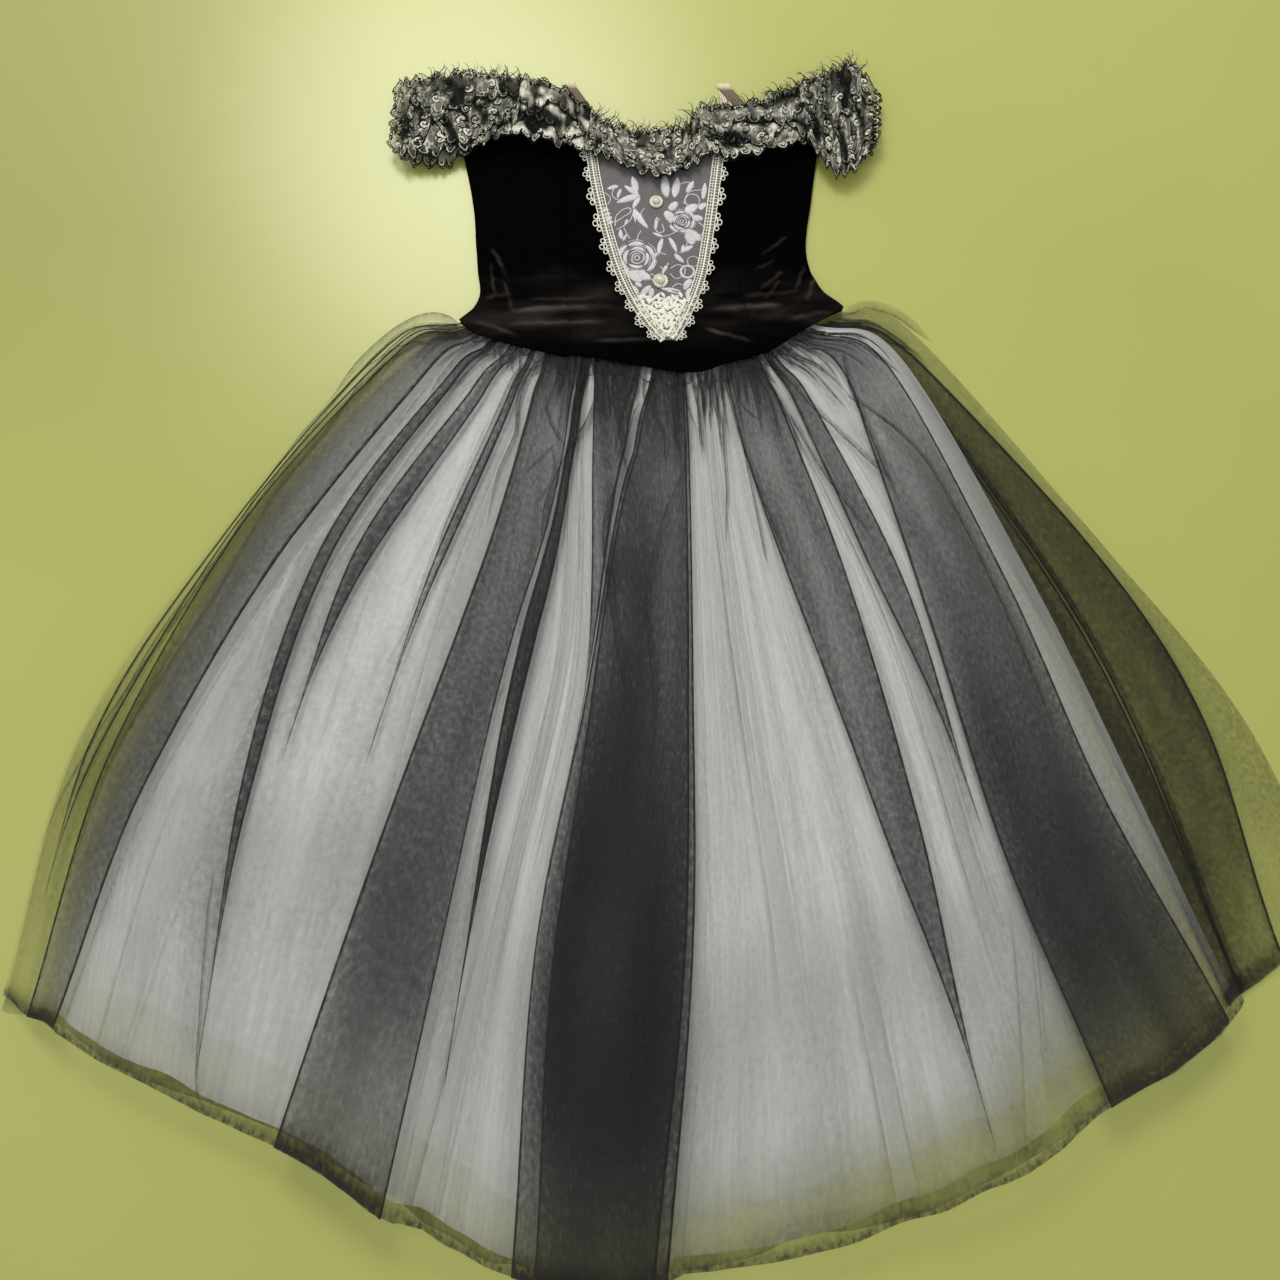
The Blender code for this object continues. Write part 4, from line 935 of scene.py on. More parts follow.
def stomacher_height(x, y):
    """Height of the middle of the stomacher's net, which lies on the velvet."""
    return velvet_height(x, y) + VELVET_WALL / 2 + STOMACHER_LIFT + GUIPURE_WALL / 2


def stomacher_side(side, down):
    """Plan points on one side of the stomacher, 0 at the neck and 1 at its point."""
    points = [(row[side], row[0]) for row in STOMACHER]
    return spline(points, np.asarray(down, float) * (len(STOMACHER) - 1))


def thread_material(name, dark, light, grain_scale=900.0):
    """Lace thread: a soft mottle of tone, and the fine grain of its twist."""
    values = {"Roughness": 0.72, "Sheen Weight": 0.12, "Sheen Roughness": 0.4}
    material, tree, shader = start_material(name, values)
    place = put(tree, "ShaderNodeTexCoord", {}).outputs["Object"]
    twist = noise(tree, stretch(tree, place, (1.0, 1.7, 1.0)), grain_scale, 2.0, 0.6)
    patches = spread(tree, noise(tree, place, 70.0, 2.0), 0.35, 0.65)
    shade = mix_colour(tree, spread(tree, twist, 0.32, 0.62), dark, light)
    mottled = mix_colour(tree, calc(tree, "MULTIPLY", patches, 0.35), shade, dark)
    tree.links.new(mottled, shader.inputs["Base Color"])
    bump(tree, shader, twist, 0.0003, 0.8)
    return material


rows = []
for down in np.linspace(0.0, 1.0, STOMACHER_ROWS):
    left, right = stomacher_side(1, down), stomacher_side(2, down)
    x, y = (left + (right - left) * np.linspace(0.0, 1.0, STOMACHER_COLUMNS)[:, None]).T
    rows.append(np.column_stack([x, y, stomacher_height(x, y)]))
GROUND_DARK, GROUND_GREY = (0.085, 0.076, 0.078, 1.0), (0.165, 0.148, 0.150, 1.0)
stomacher_net = thread_material("stomacher net", GROUND_DARK, GROUND_GREY, 700.0)
stomacher = add_mesh("stomacher_net", rows, grid_faces(STOMACHER_ROWS, STOMACHER_COLUMNS), stomacher_net)
give_wall(stomacher, GUIPURE_WALL, 0.0003)
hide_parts("stomacher")

ROLL_SECTION = np.array([(-1.0, 0.0), (-0.62, 0.75), (0.0, 1.0), (0.62, 0.75), (1.0, 0.0), (0.0, -0.15)])


def roll(path, widths, rises, closed=False):
    """A flat-bottomed roll of thread along a path of plan points: points (x, y, height) and faces."""
    path = np.asarray(path, float)
    count, sides = len(path), len(ROLL_SECTION)
    if closed:
        run = np.roll(path, -1, axis=0) - np.roll(path, 1, axis=0)
    else:
        run = np.gradient(path, axis=0)
    run = run / np.maximum(np.hypot(run[:, 0], run[:, 1]), 1e-9)[:, None]
    across = np.column_stack([-run[:, 1], run[:, 0]])
    widths, rises = np.broadcast_to(widths, count), np.broadcast_to(rises, count)
    places = path[:, None] + across[:, None] * (ROLL_SECTION[:, 0] * widths[:, None] / 2)[:, :, None]
    heights = ROLL_SECTION[:, 1] * rises[:, None]
    faces = []
    for step in range(count if closed else count - 1):
        here, after = step * sides, (step + 1) % count * sides
        for k in range(sides):
            aside = (k + 1) % sides
            faces.append((here + k, after + k, after + aside, here + aside))
    if not closed:
        faces += [tuple(range(sides)), tuple(reversed(range((count - 1) * sides, count * sides)))]
    return np.concatenate([places, heights[:, :, None]], axis=2).reshape(-1, 3), faces


def joined(solids):
    """Several solids as one list of points and one of faces."""
    points, faces, start = [], [], 0
    for some, corners in solids:
        points.append(some)
        faces += [tuple(start + k for k in corner) for corner in corners]
        start += len(some)
    return np.concatenate(points), faces


def leaf(x, y, turn, length, width, curl=0.0, rise=0.0011):
    """A pointed leaf or petal from a point: it heads off at a turn in degrees and curls to one side."""
    shares = np.linspace(0.0, 1.0, 10)
    headings = np.radians(turn + curl * (shares - 0.3))
    steps = np.column_stack([np.cos(headings), np.sin(headings)]) * length / 9.0
    path = np.array([x, y]) + np.cumsum(steps, axis=0) - steps[0]
    bluntness = 0.8 - 0.4 * float(smooth((width / length - 0.5) / 0.3))
    full = np.sin(math.pi * (0.04 + 0.92 * shares) ** 0.85) ** bluntness
    return roll(path, width * full, rise * full)


def crescent(x, y, reach, turn, sweep, width, rise=0.0011):
    """A petal seen edge on: part of a ring, thick in the middle and pointed at both ends."""
    shares = np.linspace(0.0, 1.0, 12)
    angles = np.radians(turn + sweep * shares)
    path = np.array([x, y]) + reach * np.column_stack([np.cos(angles), np.sin(angles)])
    full = np.sin(math.pi * (0.04 + 0.92 * shares)) ** 0.7
    return roll(path, width * full, rise * full)


def ring(x, y, reach, width, rise=0.0009, sides=12):
    angles = np.linspace(0.0, 2.0 * math.pi, sides + 1)[:-1]
    path = np.array([x, y]) + reach * np.column_stack([np.cos(angles), np.sin(angles)])
    return roll(path, width, rise, closed=True)


def stem(points, width=0.0010, rise=0.0008):
    path = spline(points, np.linspace(0.0, len(points) - 1.0, 6 * (len(points) - 1) + 1))
    return roll(path, width, rise)


def rose(x, y, reach, turn):
    """A full rose: a small open heart, petals wrapped round it, and two rounds of broad petals with rims."""
    parts = [ring(x, y, 0.13 * reach, 0.09 * reach)]
    for k in range(3):
        parts.append(crescent(x, y, reach * (0.26 + 0.07 * k), turn + 142.0 * k, 200.0, 0.10 * reach))
    for petals, tier, width, start in ((4, 0.57, 0.22, 0.0), (6, 0.86, 0.27, 25.0)):
        sweep = 360.0 / petals
        for k in range(petals):
            first = turn + start + sweep * k
            middle, outer = reach * (tier + 0.05 * math.sin(2.0 * k)), reach * (tier + 0.66 * width)
            parts.append(crescent(x, y, middle, first, 0.94 * sweep, width * reach))
            parts.append(crescent(x, y, outer, first + 0.05 * sweep, 0.84 * sweep, 0.06 * reach, 0.0013))
    return parts


Spray = namedtuple("Spray", "right down turn length width curl")
SPRAYS = (
    Spray(-17, -8, 196, 26, 8.5, 12),
    Spray(-18, -9, 146, 19, 7.0, -10),
    Spray(-21, -11, 98, 21, 8.5, 12),
    Spray(-17, -6, 238, 16, 6.0, 15),
    Spray(-23, 8, 297, 27, 7.5, 22),
    Spray(-24, 9, 279, 16, 3.0, 0),
    Spray(7, 41, 159, 12, 4.0, -15),
    Spray(6.5, 43, 253, 20, 6.0, 20),
    Spray(13, 42, 299, 20, 5.5, -18),
    Spray(19, 61, 309, 14, 6.0, 20),
    Spray(1, 61, 228, 9, 4.0, 10),
    Spray(18, 23, 123, 15, 11.0, 15),
    Spray(30, 34, 326, 20, 13.0, 15),
    Spray(33, 36, 289, 15, 11.5, 10),
    Spray(31, 12, 38, 15, 11.0, -15),
    Spray(38, 18, 350, 11, 8.0, 10),
    Spray(-28, 82, 318, 17, 12.5, 10),
    Spray(-19, 84, 334, 14, 10.5, 10),
    Spray(-33, 78, 297, 12, 8.5, 10),
    Spray(36, 91, 233, 14, 8.5, 12),
    Spray(35, 101, 247, 12, 6.5, 10),
    Spray(-6, 98, 229, 16, 7.5, -12),
    Spray(-4, 101, 258, 13, 6.5, 12),
    Spray(-15, 99, 150, 8, 5.5, 0),
    Spray(2, 99, 336, 23, 3.6, 10),
    Spray(8, 101, 351, 18, 3.2, -10),
    Spray(24, 109, 203, 20, 4.2, 12),
    Spray(1, 112, 341, 16, 4.2, -12),
    Spray(11, -6, 96, 27, 10.5, -8),
    Spray(19, -6, 80, 25, 9.5, 8),
    Spray(14, 9, 48, 12, 9.0, 10),
    Spray(45, 8, 45, 10, 7.5, 0),
    Spray(49, -4, 80, 20, 6.5, 10),
    Spray(-50, 8, 205, 8, 5.5, 0),
    Spray(-48, 13, 202, 9, 5.5, 0),
    Spray(-46, 18, 199, 9, 5.5, 0),
    Spray(-45, 23, 196, 8, 5.0, 0),
    Spray(-36, 44, 100, 12, 5.5, -15),
    Spray(-35, 46, 60, 9, 4.0, 15),
    Spray(28, 58, 35, 12, 6.0, -15),
    Spray(27, 60, 80, 10, 5.0, 15),
    Spray(-24, 98, 300, 12, 5.0, 12),
    Spray(-37, -16, 250, 12, 4.5, 12),
    Spray(-40, -20, 200, 12, 6.0, -12),
    Spray(32, -12, 60, 16, 6.5, 12),
    Spray(1, 18, 262, 14, 4.5, 12),
    Spray(12, 74, 235, 12, 4.5, 12),
    Spray(-30, 20, 250, 9, 3.5, 0),
)
STEMS = (
    ((-43, 29), (-42, 17), (-35, 9), (-28, 7), (-27, 12), (-35, 18), (-44, 25)),
    ((-42, 33), (-34, 28), (-27, 21), (-23, 10)),
    ((-34, 30), (-31, 37), (-27, 44)),
    ((-16, 34), (-19, 40), (-20, 46)),
    ((-12, 7), (-16, 14), (-13, 24)),
    ((7, 41), (16, 38), (24, 32)),
    ((10, 62), (3, 60), (-4, 62)),
    ((29, 2), (31, -6), (36, -13), (48, -15)),
    ((-58, -12), (-52, -10), (-48, -4), (-51, 3)),
    ((14, 78), (22, 74), (28, 76)),
    ((-2, 92), (-9, 90), (-16, 92)),
    ((32, 48), (30, 56), (24, 60)),
    ((-30, -6), (-38, -2), (-46, -8), (-44, -18)),
    ((4, 20), (-2, 28), (2, 36), (8, 34), (6, 26)),
    ((14, 84), (20, 90), (28, 86), (30, 78)),
    ((-6, 84), (2, 88), (8, 82), (4, 76)),
    ((44, 24), (50, 30), (46, 40), (40, 44)),
    ((-44, 40), (-46, 50), (-40, 58)),
    ((16, 100), (22, 96), (28, 98)),
    ((20, -16), (26, -22), (34, -24), (40, -18)),
)


def drawn(right, down):
    """A plan point, from millimetres right of the upper button and below it."""
    return BUTTON_TOP_PLAN[0] + 0.001 * right, BUTTON_TOP_PLAN[1] - 0.001 * down


lace_parts = rose(*drawn(-20.0, 66.0), 0.0200, 40.0) + rose(*drawn(27.0, 23.0), 0.0140, 110.0)
for spray in SPRAYS:
    x, y = drawn(spray.right, spray.down)
    lace_parts.append(leaf(x, y, spray.turn, 0.001 * spray.length, 0.001 * spray.width, spray.curl))
lace_parts += [stem([drawn(*point) for point in points], 0.0013) for points in STEMS]
LACE_RINGS = ((32, 82, 0.0070, 0.0030), (38, -2, 0.0078, 0.0014), (38, 70, 0.0060, 0.0012))
for right, down, reach, width in LACE_RINGS:
    lace_parts.append(ring(*drawn(right, down), reach, width))
TIP_TOP, TIP_ROWS, TIP_ROW_STEP, TIP_LEAF_STEP = 0.666, 20, 0.0025, 0.0052
sides_down, sides_left, sides_right = (np.array(STOMACHER) * (-1.0, 1.0, 1.0)).T
tip_parts = []
for k in range(TIP_ROWS):
    row_y = TIP_TOP - TIP_ROW_STEP * k
    left = float(np.interp(-row_y, sides_down, sides_left))
    right = float(np.interp(-row_y, sides_down, sides_right))
    count = max(2, round((right - left) / TIP_LEAF_STEP))
    for j in range(count):
        x = left + (right - left) * (j + 0.5) / count + 0.0012 * math.sin(5.0 * k + 3.0 * j)
        turn = 250.0 + 150.0 * math.sin(2.3 * k + 1.9 * j)
        tip_parts.append(leaf(x, row_y, turn, 0.0080, 0.0036, 60.0))


def on_surface(points, height, lift):
    """Lays flat-made points (x, y, height) on a surface."""
    x, y, rise = points.T
    return np.column_stack([x, y, height(x, y) + lift + rise])


white_thread = thread_material("white thread", (0.360, 0.345, 0.350, 1.0), (0.880, 0.860, 0.865, 1.0))
cream_thread = thread_material("cream thread", (0.740, 0.710, 0.570, 1.0), (0.960, 0.940, 0.820, 1.0))
embroidery = (("stomacher_lace", lace_parts, white_thread), ("stomacher_tip", tip_parts, cream_thread))
for name, parts, thread in embroidery:
    points, faces = joined(parts)
    piece = add_mesh(name, on_surface(points, stomacher_height, GUIPURE_WALL / 2), faces, thread)
    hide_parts("stomacher")


# Edging
# Cream guipure sewn down both sides of the stomacher: a narrow net tape with four cords along it and small
# bars across, and on its outer side scallops, each a little fan of corded rings.
TAPE_WIDTH = 0.0116
TAPE_INSET = 0.0012
TAPE_CORDS = ((-0.0062, 0.0014), (-0.0032, 0.0009), (-0.0003, 0.0020), (0.0042, 0.0012))
CORD_RISE = 0.0010
TRACK_POINTS = 120
SCALLOPS = 10
SCALLOP_STITCHES = 8


def row_of_units():
    """A Geometry Nodes tree that lays copies of a unit in a row, each turned and scaled by chance."""
    tree = bpy.data.node_groups.new("row of units", "GeometryNodeTree")
    sockets = (
        ("Unit", "NodeSocketObject"), ("Count", "NodeSocketInt"), ("Spacing", "NodeSocketFloat"),
        ("Turn", "NodeSocketFloat"), ("Least size", "NodeSocketFloat"), ("Seed", "NodeSocketInt"),
        ("Thread", "NodeSocketMaterial"),
    )
    tree.interface.new_socket("Geometry", in_out="INPUT", socket_type="NodeSocketGeometry")
    for name, kind in sockets:
        tree.interface.new_socket(name, in_out="INPUT", socket_type=kind)
    tree.interface.new_socket("Geometry", in_out="OUTPUT", socket_type="NodeSocketGeometry")
    given = tree.nodes.new("NodeGroupInput").outputs
    spacing = put(tree, "ShaderNodeCombineXYZ", {"X": given["Spacing"]}).outputs[0]
    line = put(tree, "GeometryNodeMeshLine", {"Count": given["Count"], "Offset": spacing}).outputs[0]
    unit = put(tree, "GeometryNodeObjectInfo", {"Object": given["Unit"]}).outputs["Geometry"]
    back = calc(tree, "MULTIPLY", given["Turn"], -1.0)
    turns = {2: back, 3: given["Turn"], "Seed": given["Seed"]}
    turned = put(tree, "FunctionNodeRandomValue", turns, data_type="FLOAT").outputs[1]
    sizes = {2: given["Least size"], 3: 1.0, "Seed": calc(tree, "ADD", given["Seed"], 7.0)}
    sized = put(tree, "FunctionNodeRandomValue", sizes, data_type="FLOAT").outputs[1]
    rotation = put(tree, "ShaderNodeCombineXYZ", {"Z": turned}).outputs[0]
    placed = {"Points": line, "Instance": unit, "Rotation": rotation, "Scale": sized}
    copies = put(tree, "GeometryNodeInstanceOnPoints", placed).outputs[0]
    real = put(tree, "GeometryNodeRealizeInstances", {"Geometry": copies}).outputs[0]
    made = put(tree, "GeometryNodeSetMaterial", {"Geometry": real, "Material": given["Thread"]}).outputs[0]
    put(tree, "NodeGroupOutput", {"Geometry": made})
    return tree


UNIT_ROW = row_of_units()


def lay_row(unit, count, spacing, turn, least_size, seed, thread):
    """Points (along, across, height), faces and silver values of a flat row of copies of a unit."""
    points, faces, silver = unit
    mesh = bpy.data.meshes.new("unit")
    mesh.from_pydata(np.asarray(points, float).tolist(), [], faces)
    mesh.attributes.new("silver", "FLOAT", "POINT").data.foreach_set("value", np.asarray(silver, np.float32))
    unit_object = bpy.data.objects.new("unit", mesh)
    carrier = bpy.data.objects.new("row", bpy.data.meshes.new("row"))
    bpy.context.collection.objects.link(unit_object)
    bpy.context.collection.objects.link(carrier)
    modifier = carrier.modifiers.new("row", "NODES")
    modifier.node_group = UNIT_ROW
    values = {
        "Unit": unit_object, "Count": count, "Spacing": spacing, "Turn": turn, "Least size": least_size,
        "Seed": seed, "Thread": thread,
    }
    for item in UNIT_ROW.interface.items_tree:
        if item.item_type == "SOCKET" and item.in_out == "INPUT" and item.name in values:
            modifier[item.identifier] = values[item.name]
    bpy.context.view_layer.update()
    evaluated = carrier.evaluated_get(bpy.context.evaluated_depsgraph_get())
    made = bpy.data.meshes.new_from_object(evaluated)
    laid = np.array([vertex.co[:] for vertex in made.vertices])
    corners = [tuple(face.vertices) for face in made.polygons]
    shine = np.zeros(len(laid), np.float32)
    made.attributes["silver"].data.foreach_get("value", shine)
    for thing in (carrier, unit_object):
        bpy.data.objects.remove(thing)
    return laid, corners, shine


def plain_unit(parts):
    """A unit of one thread, with no silver in it."""
    points, faces = joined(parts)
    return points, faces, np.zeros(len(points))


scallop_unit = plain_unit([
    ring(0.0, 0.0094, 0.0025, 0.0013, 0.0012),
    ring(-0.0060, 0.0070, 0.0022, 0.0012, 0.0012, 10),
    ring(0.0060, 0.0070, 0.0022, 0.0012, 0.0012, 10),
    crescent(0.0, 0.0016, 0.0056, 15.0, 150.0, 0.0014),
    ring(-0.0028, 0.0054, 0.0010, 0.0007, 0.0009, 8),
    ring(0.0028, 0.0054, 0.0010, 0.0007, 0.0009, 8),
])
bar_unit = plain_unit([roll([(0.0, -0.0066), (0.0, 0.0044)], 0.0009, 0.0008)])


def wrap_edging(points, side, outward, length):
    """Bends a flat-made row (along, across, height) down one side of the stomacher."""
    along, across, rise = points.T
    down = np.clip(along / length, 0.0, 1.0)
    here = stomacher_side(side, down)
    ahead, behind = np.minimum(down + 0.01, 1.0), np.maximum(down - 0.01, 0.0)
    run = stomacher_side(side, ahead) - stomacher_side(side, behind)
    out = np.column_stack([-run[:, 1], run[:, 0]]) / np.hypot(run[:, 0], run[:, 1])[:, None]
    out = out * np.where(out[:, :1] * outward < 0, -1.0, 1.0)
    x, y = (here + out * across[:, None] + (along / length - down)[:, None] * run / 0.02).T
    return np.column_stack([x, y, stomacher_height(x, y) + GUIPURE_WALL / 2 + STOMACHER_LIFT + rise])


def turned_over(faces, mirrored=True):
    """Faces turned over where a piece was mirrored, so that they still look outwards."""
    return [tuple(reversed(face)) for face in faces] if mirrored else faces


for name, side, outward in (("trim_left", 1, -1), ("trim_right", 2, 1)):
    edge = stomacher_side(side, np.linspace(0.0, 1.0, 60))
    length = float(np.hypot(*np.diff(edge, axis=0).T).sum())
    pitch = length / SCALLOPS
    scallops, scallop_faces, _ = lay_row(
        scallop_unit, SCALLOPS, pitch, turn=0.05, least_size=0.92, seed=3 + side, thread=cream_thread
    )
    stitches = SCALLOPS * SCALLOP_STITCHES
    bars, bar_faces, _ = lay_row(
        bar_unit, stitches, length / stitches, turn=0.12, least_size=0.95, seed=5 + side, thread=cream_thread
    )
    track = np.linspace(0.0, length, TRACK_POINTS)
    cords = [roll(np.column_stack([track, 0.0 * track + at]), width, CORD_RISE) for at, width in TAPE_CORDS]
    scallops[:, 0] += pitch / 2.0
    flat_points, flat_faces = joined([(scallops, scallop_faces), (bars, bar_faces), *cords])
    flat_points[:, 2] += 0.0003
    points = wrap_edging(flat_points, side, outward, length)
    work = add_mesh(name + "_guipure", points, turned_over(flat_faces, outward < 0), cream_thread)
    tape_along, tape_across = np.meshgrid(track, (TAPE_WIDTH / 2, 0.0, -TAPE_WIDTH / 2), indexing="ij")
    tape_across = tape_across - TAPE_INSET
    tape = np.column_stack([tape_along.ravel(), tape_across.ravel(), np.zeros(tape_along.size)])
    faces = grid_faces(TRACK_POINTS, 3).tolist()
    points = wrap_edging(tape, side, outward, length)
    band = add_mesh(name + "_band", points, turned_over(faces, outward < 0), stomacher_net)
    for piece in (band, work):
        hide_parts(name)


# Buttons and beads
# Two turned pearl buttons down the middle of the stomacher, the lower one with a petalled rim, and three
# tiny pearl beads sewn between and below them.
Button = namedtuple("Button", "name x y radius petals cut")
BUTTONS = (
    Button("button_top", x=0.017, y=0.778, radius=0.0072, petals=0, cut=0.0),
    Button("button_low", x=0.021, y=0.685, radius=0.0085, petals=16, cut=0.13),
)
BUTTON_RINGS = (
    (0.30, 0.0000), (0.96, 0.0000), (1.00, 0.0006), (0.99, 0.0014), (0.93, 0.0020),
    (0.84, 0.0023), (0.72, 0.0021), (0.64, 0.0018), (0.60, 0.0020), (0.57, 0.0030),
    (0.50, 0.0040), (0.40, 0.0047), (0.27, 0.0053), (0.13, 0.00555),
)
BUTTON_TOP = 0.0056
BUTTON_SIDES = 64
BEADS = ((0.018, 0.757, 0.0013), (0.029, 0.704, 0.0014), (0.034, 0.674, 0.0011))

pearl, tree, shader = start_material("pearl", {
    "Roughness": 0.28, "Coat Weight": 0.35, "Coat Roughness": 0.20, "Specular IOR Level": 0.5,
})
pearl_place = put(tree, "ShaderNodeTexCoord", {}).outputs["Object"]
pearl_shade = spread(tree, noise(tree, pearl_place, 260.0, 3.0), 0.35, 0.65)
pearl_colour = mix_colour(tree, pearl_shade, (0.480, 0.450, 0.330, 1.0), (0.700, 0.670, 0.540, 1.0))
tree.links.new(pearl_colour, shader.inputs["Base Color"])
tree.links.new(spread(tree, pearl_shade, 0.0, 1.0, 0.24, 0.38), shader.inputs["Roughness"])


def turned(rings, petals, cut, sides):
    """Points and faces of a turned form, closed below and above, whose wide rings may be cut into petals."""
    angles = np.linspace(0.0, 2.0 * math.pi, sides + 1)[:-1]
    points = [(0.0, 0.0, rings[0][1])]
    for reach, height in rings:
        wide = smooth((reach - 0.66) / 0.25)
        notches = (0.5 - 0.5 * np.cos(petals * angles)) ** 1.5
        edge = reach * (1.0 - cut * wide * notches)
        points += list(zip(edge * np.cos(angles), edge * np.sin(angles), np.full(sides, height)))
    faces = [(0, 1 + (k + 1) % sides, 1 + k) for k in range(sides)]
    for step in range(len(rings) - 1):
        low, high = 1 + step * sides, 1 + (step + 1) * sides
        faces += [(low + k, low + (k + 1) % sides, high + (k + 1) % sides, high + k) for k in range(sides)]
    return np.array(points), faces


def seat_height(x, y, radius):
    """Height of the highest point of the stomacher under a round piece."""
    angles = np.linspace(0.0, 2.0 * math.pi, 12)
    under = stomacher_height(x + radius * np.cos(angles), y + radius * np.sin(angles))
    return float(under.max()) + GUIPURE_WALL / 2


for button in BUTTONS:
    points, faces = turned(BUTTON_RINGS, button.petals, button.cut, BUTTON_SIDES)
    points = np.vstack([points, (0.0, 0.0, BUTTON_TOP)])
    last = len(points) - 1 - BUTTON_SIDES
    faces += [(last + k, last + (k + 1) % BUTTON_SIDES, len(points) - 1) for k in range(BUTTON_SIDES)]
    points = points * (button.radius, button.radius, 1.0)
    points = points + (button.x, button.y, seat_height(button.x, button.y, button.radius) + SEAM)
    piece = add_mesh(button.name + "_pearl", points, faces, pearl)
    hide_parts(button.name)

bead_solids = []
for x, y, radius in BEADS:
    rings = [(math.sin(turn), -math.cos(turn)) for turn in np.linspace(0.25, 2.9, 9)]
    points, faces = turned(rings, 0, 0.0, 16)
    last = len(points) - 16
    faces = faces + [tuple(last + k for k in range(16))]
    seat = seat_height(x, y, radius) + 0.9 * radius
    bead_solids.append((points * radius + (x, y, seat), faces))
beads = add_mesh("beads", *joined(bead_solids), pearl)


# Ruffles
# Black and silver lace gathered into ruffles: round each sleeve, in swags over the bust and in a short
# frill at the neck. The ground is dark net, closely worked with silver scrolls that have black outlines.
# Chains of small black loops run along the edges and, on the deeper ruffles, across them.
# The lace's colour is darkened in the folds' valleys and lightened on their crests: painted shade and
# highlight.
Ruffle = namedtuple(
    "Ruffle", "name lower upper waves height lift gathered flat_length flat_width worked arcs pale"
)
RUFFLES = (
    Ruffle(
        "sleeve_back_left",
        ((-0.252, 0.836), (-0.228, 0.827), (-0.198, 0.832), (-0.140, 0.882)),
        ((-0.254, 0.914), (-0.228, 0.918), (-0.198, 0.922), (-0.140, 0.916)),
        waves=5, height=0.0078, lift=None, gathered=0.50, flat_length=0.165, flat_width=0.064,
        worked=0.3, arcs=1.0, pale=0.64,
    ),
    Ruffle(
        "sleeve_back_right",
        ((0.135, 0.882), (0.197, 0.846), (0.222, 0.830), (0.248, 0.846)),
        ((0.135, 0.910), (0.197, 0.926), (0.222, 0.930), (0.248, 0.908)),
        waves=5, height=0.0078, lift=None, gathered=0.50, flat_length=0.165, flat_width=0.064,
        worked=0.3, arcs=1.0, pale=0.64,
    ),
    Ruffle(
        "sleeve_left",
        ((-0.263, 0.838), (-0.238, 0.831), (-0.200, 0.839), (-0.165, 0.844), (-0.137, 0.856)),
        ((-0.261, 0.920), (-0.240, 0.925), (-0.200, 0.932), (-0.160, 0.930), (-0.127, 0.924)),
        waves=8, height=0.0085, lift=0.0036, gathered=0.68, flat_length=0.212, flat_width=0.082,
        worked=1.0, arcs=1.5, pale=0.64,
    ),
    Ruffle(
        "swag_left",
        ((-0.136, 0.856), (-0.112, 0.851), (-0.085, 0.842), (-0.060, 0.836)),
        ((-0.126, 0.924), (-0.104, 0.920), (-0.078, 0.908), (-0.054, 0.886)),
        waves=3, height=0.0080, lift=0.0043, gathered=0.75, flat_length=0.110, flat_width=0.063,
        worked=0.3, arcs=0.0, pale=0.34,
    ),
    Ruffle(
        "neck_ruffle",
        ((-0.059, 0.838), (-0.030, 0.826), (0.010, 0.808), (0.045, 0.812), (0.074, 0.834)),
        ((-0.053, 0.884), (-0.030, 0.868), (0.008, 0.859), (0.045, 0.864), (0.062, 0.886)),
        waves=9, height=0.0050, lift=0.0043, gathered=0.70, flat_length=0.185, flat_width=0.052,
        worked=1.0, arcs=0.4, pale=0.98,
    ),
    Ruffle(
        "swag_right",
        ((0.075, 0.834), (0.105, 0.826), (0.145, 0.838), (0.178, 0.850)),
        ((0.063, 0.886), (0.098, 0.890), (0.142, 0.902), (0.172, 0.918)),
        waves=4, height=0.0080, lift=0.0043, gathered=0.70, flat_length=0.155, flat_width=0.064,
        worked=0.8, arcs=2.4, pale=0.64,
    ),
    Ruffle(
        "sleeve_right",
        ((0.179, 0.850), (0.200, 0.815), (0.222, 0.813), (0.249, 0.843)),
        ((0.173, 0.918), (0.200, 0.932), (0.228, 0.944), (0.254, 0.916)),
        waves=7, height=0.0090, lift=0.0036, gathered=0.62, flat_length=0.140, flat_width=0.104,
        worked=1.0, arcs=1.6, pale=0.64,
    ),
)
LACE_WALL = 0.0012
BACK_RUFFLE_HIDES, FRONT_RUFFLE_HIDES = 0.55, 0.93
LEAST_WAVE = 0.35
RUFFLE_ROWS = 30
COLUMNS_A_WAVE = 16
ROSETTE = 0.0108
EDGE_SCALLOP, EDGE_DEPTH, EDGE_GAP = 0.0130, 0.0060, 0.0020
FOLD_SHARPNESS = 0.75
EDGE_SWING, END_LOBE = 0.0042, 0.0048
OVERLAP = 0.025
INNER_WANDER = 0.26
DEEP_RUFFLE, INNER_CHAINS = 0.060, (0.32, 0.66)
WORK_LIFT, CHAIN_LIFT = 0.0006, 0.0008


def fold_wave(ruffle, along, up):
    """0 in the valleys and 1 on the crests of a ruffle's folds."""
    sway = 0.30 * drift(1.6 * along * ruffle.waves + 3.0, 2.5 * up, 81)
    sway = sway + 0.08 * drift(7.0 * along * ruffle.waves, 6.0 * up, 82)
    across = np.abs(np.sin(math.pi * (ruffle.waves * along + sway + 0.35 * up))) ** FOLD_SHARPNESS
    flutes = np.abs(np.sin(math.pi * (2.6 * ruffle.waves * along + 1.3 * up + 2.0 * sway)))
    folds = 0.76 * across + 0.24 * flutes
    if ruffle.arcs:
        arcs = np.abs(np.sin(math.pi * (ruffle.arcs * (up + 0.35 * along) + sway))) ** FOLD_SHARPNESS
        share = min(0.7, 0.3 * ruffle.arcs)
        folds = (1.0 - share) * folds + share * arcs
    return folds


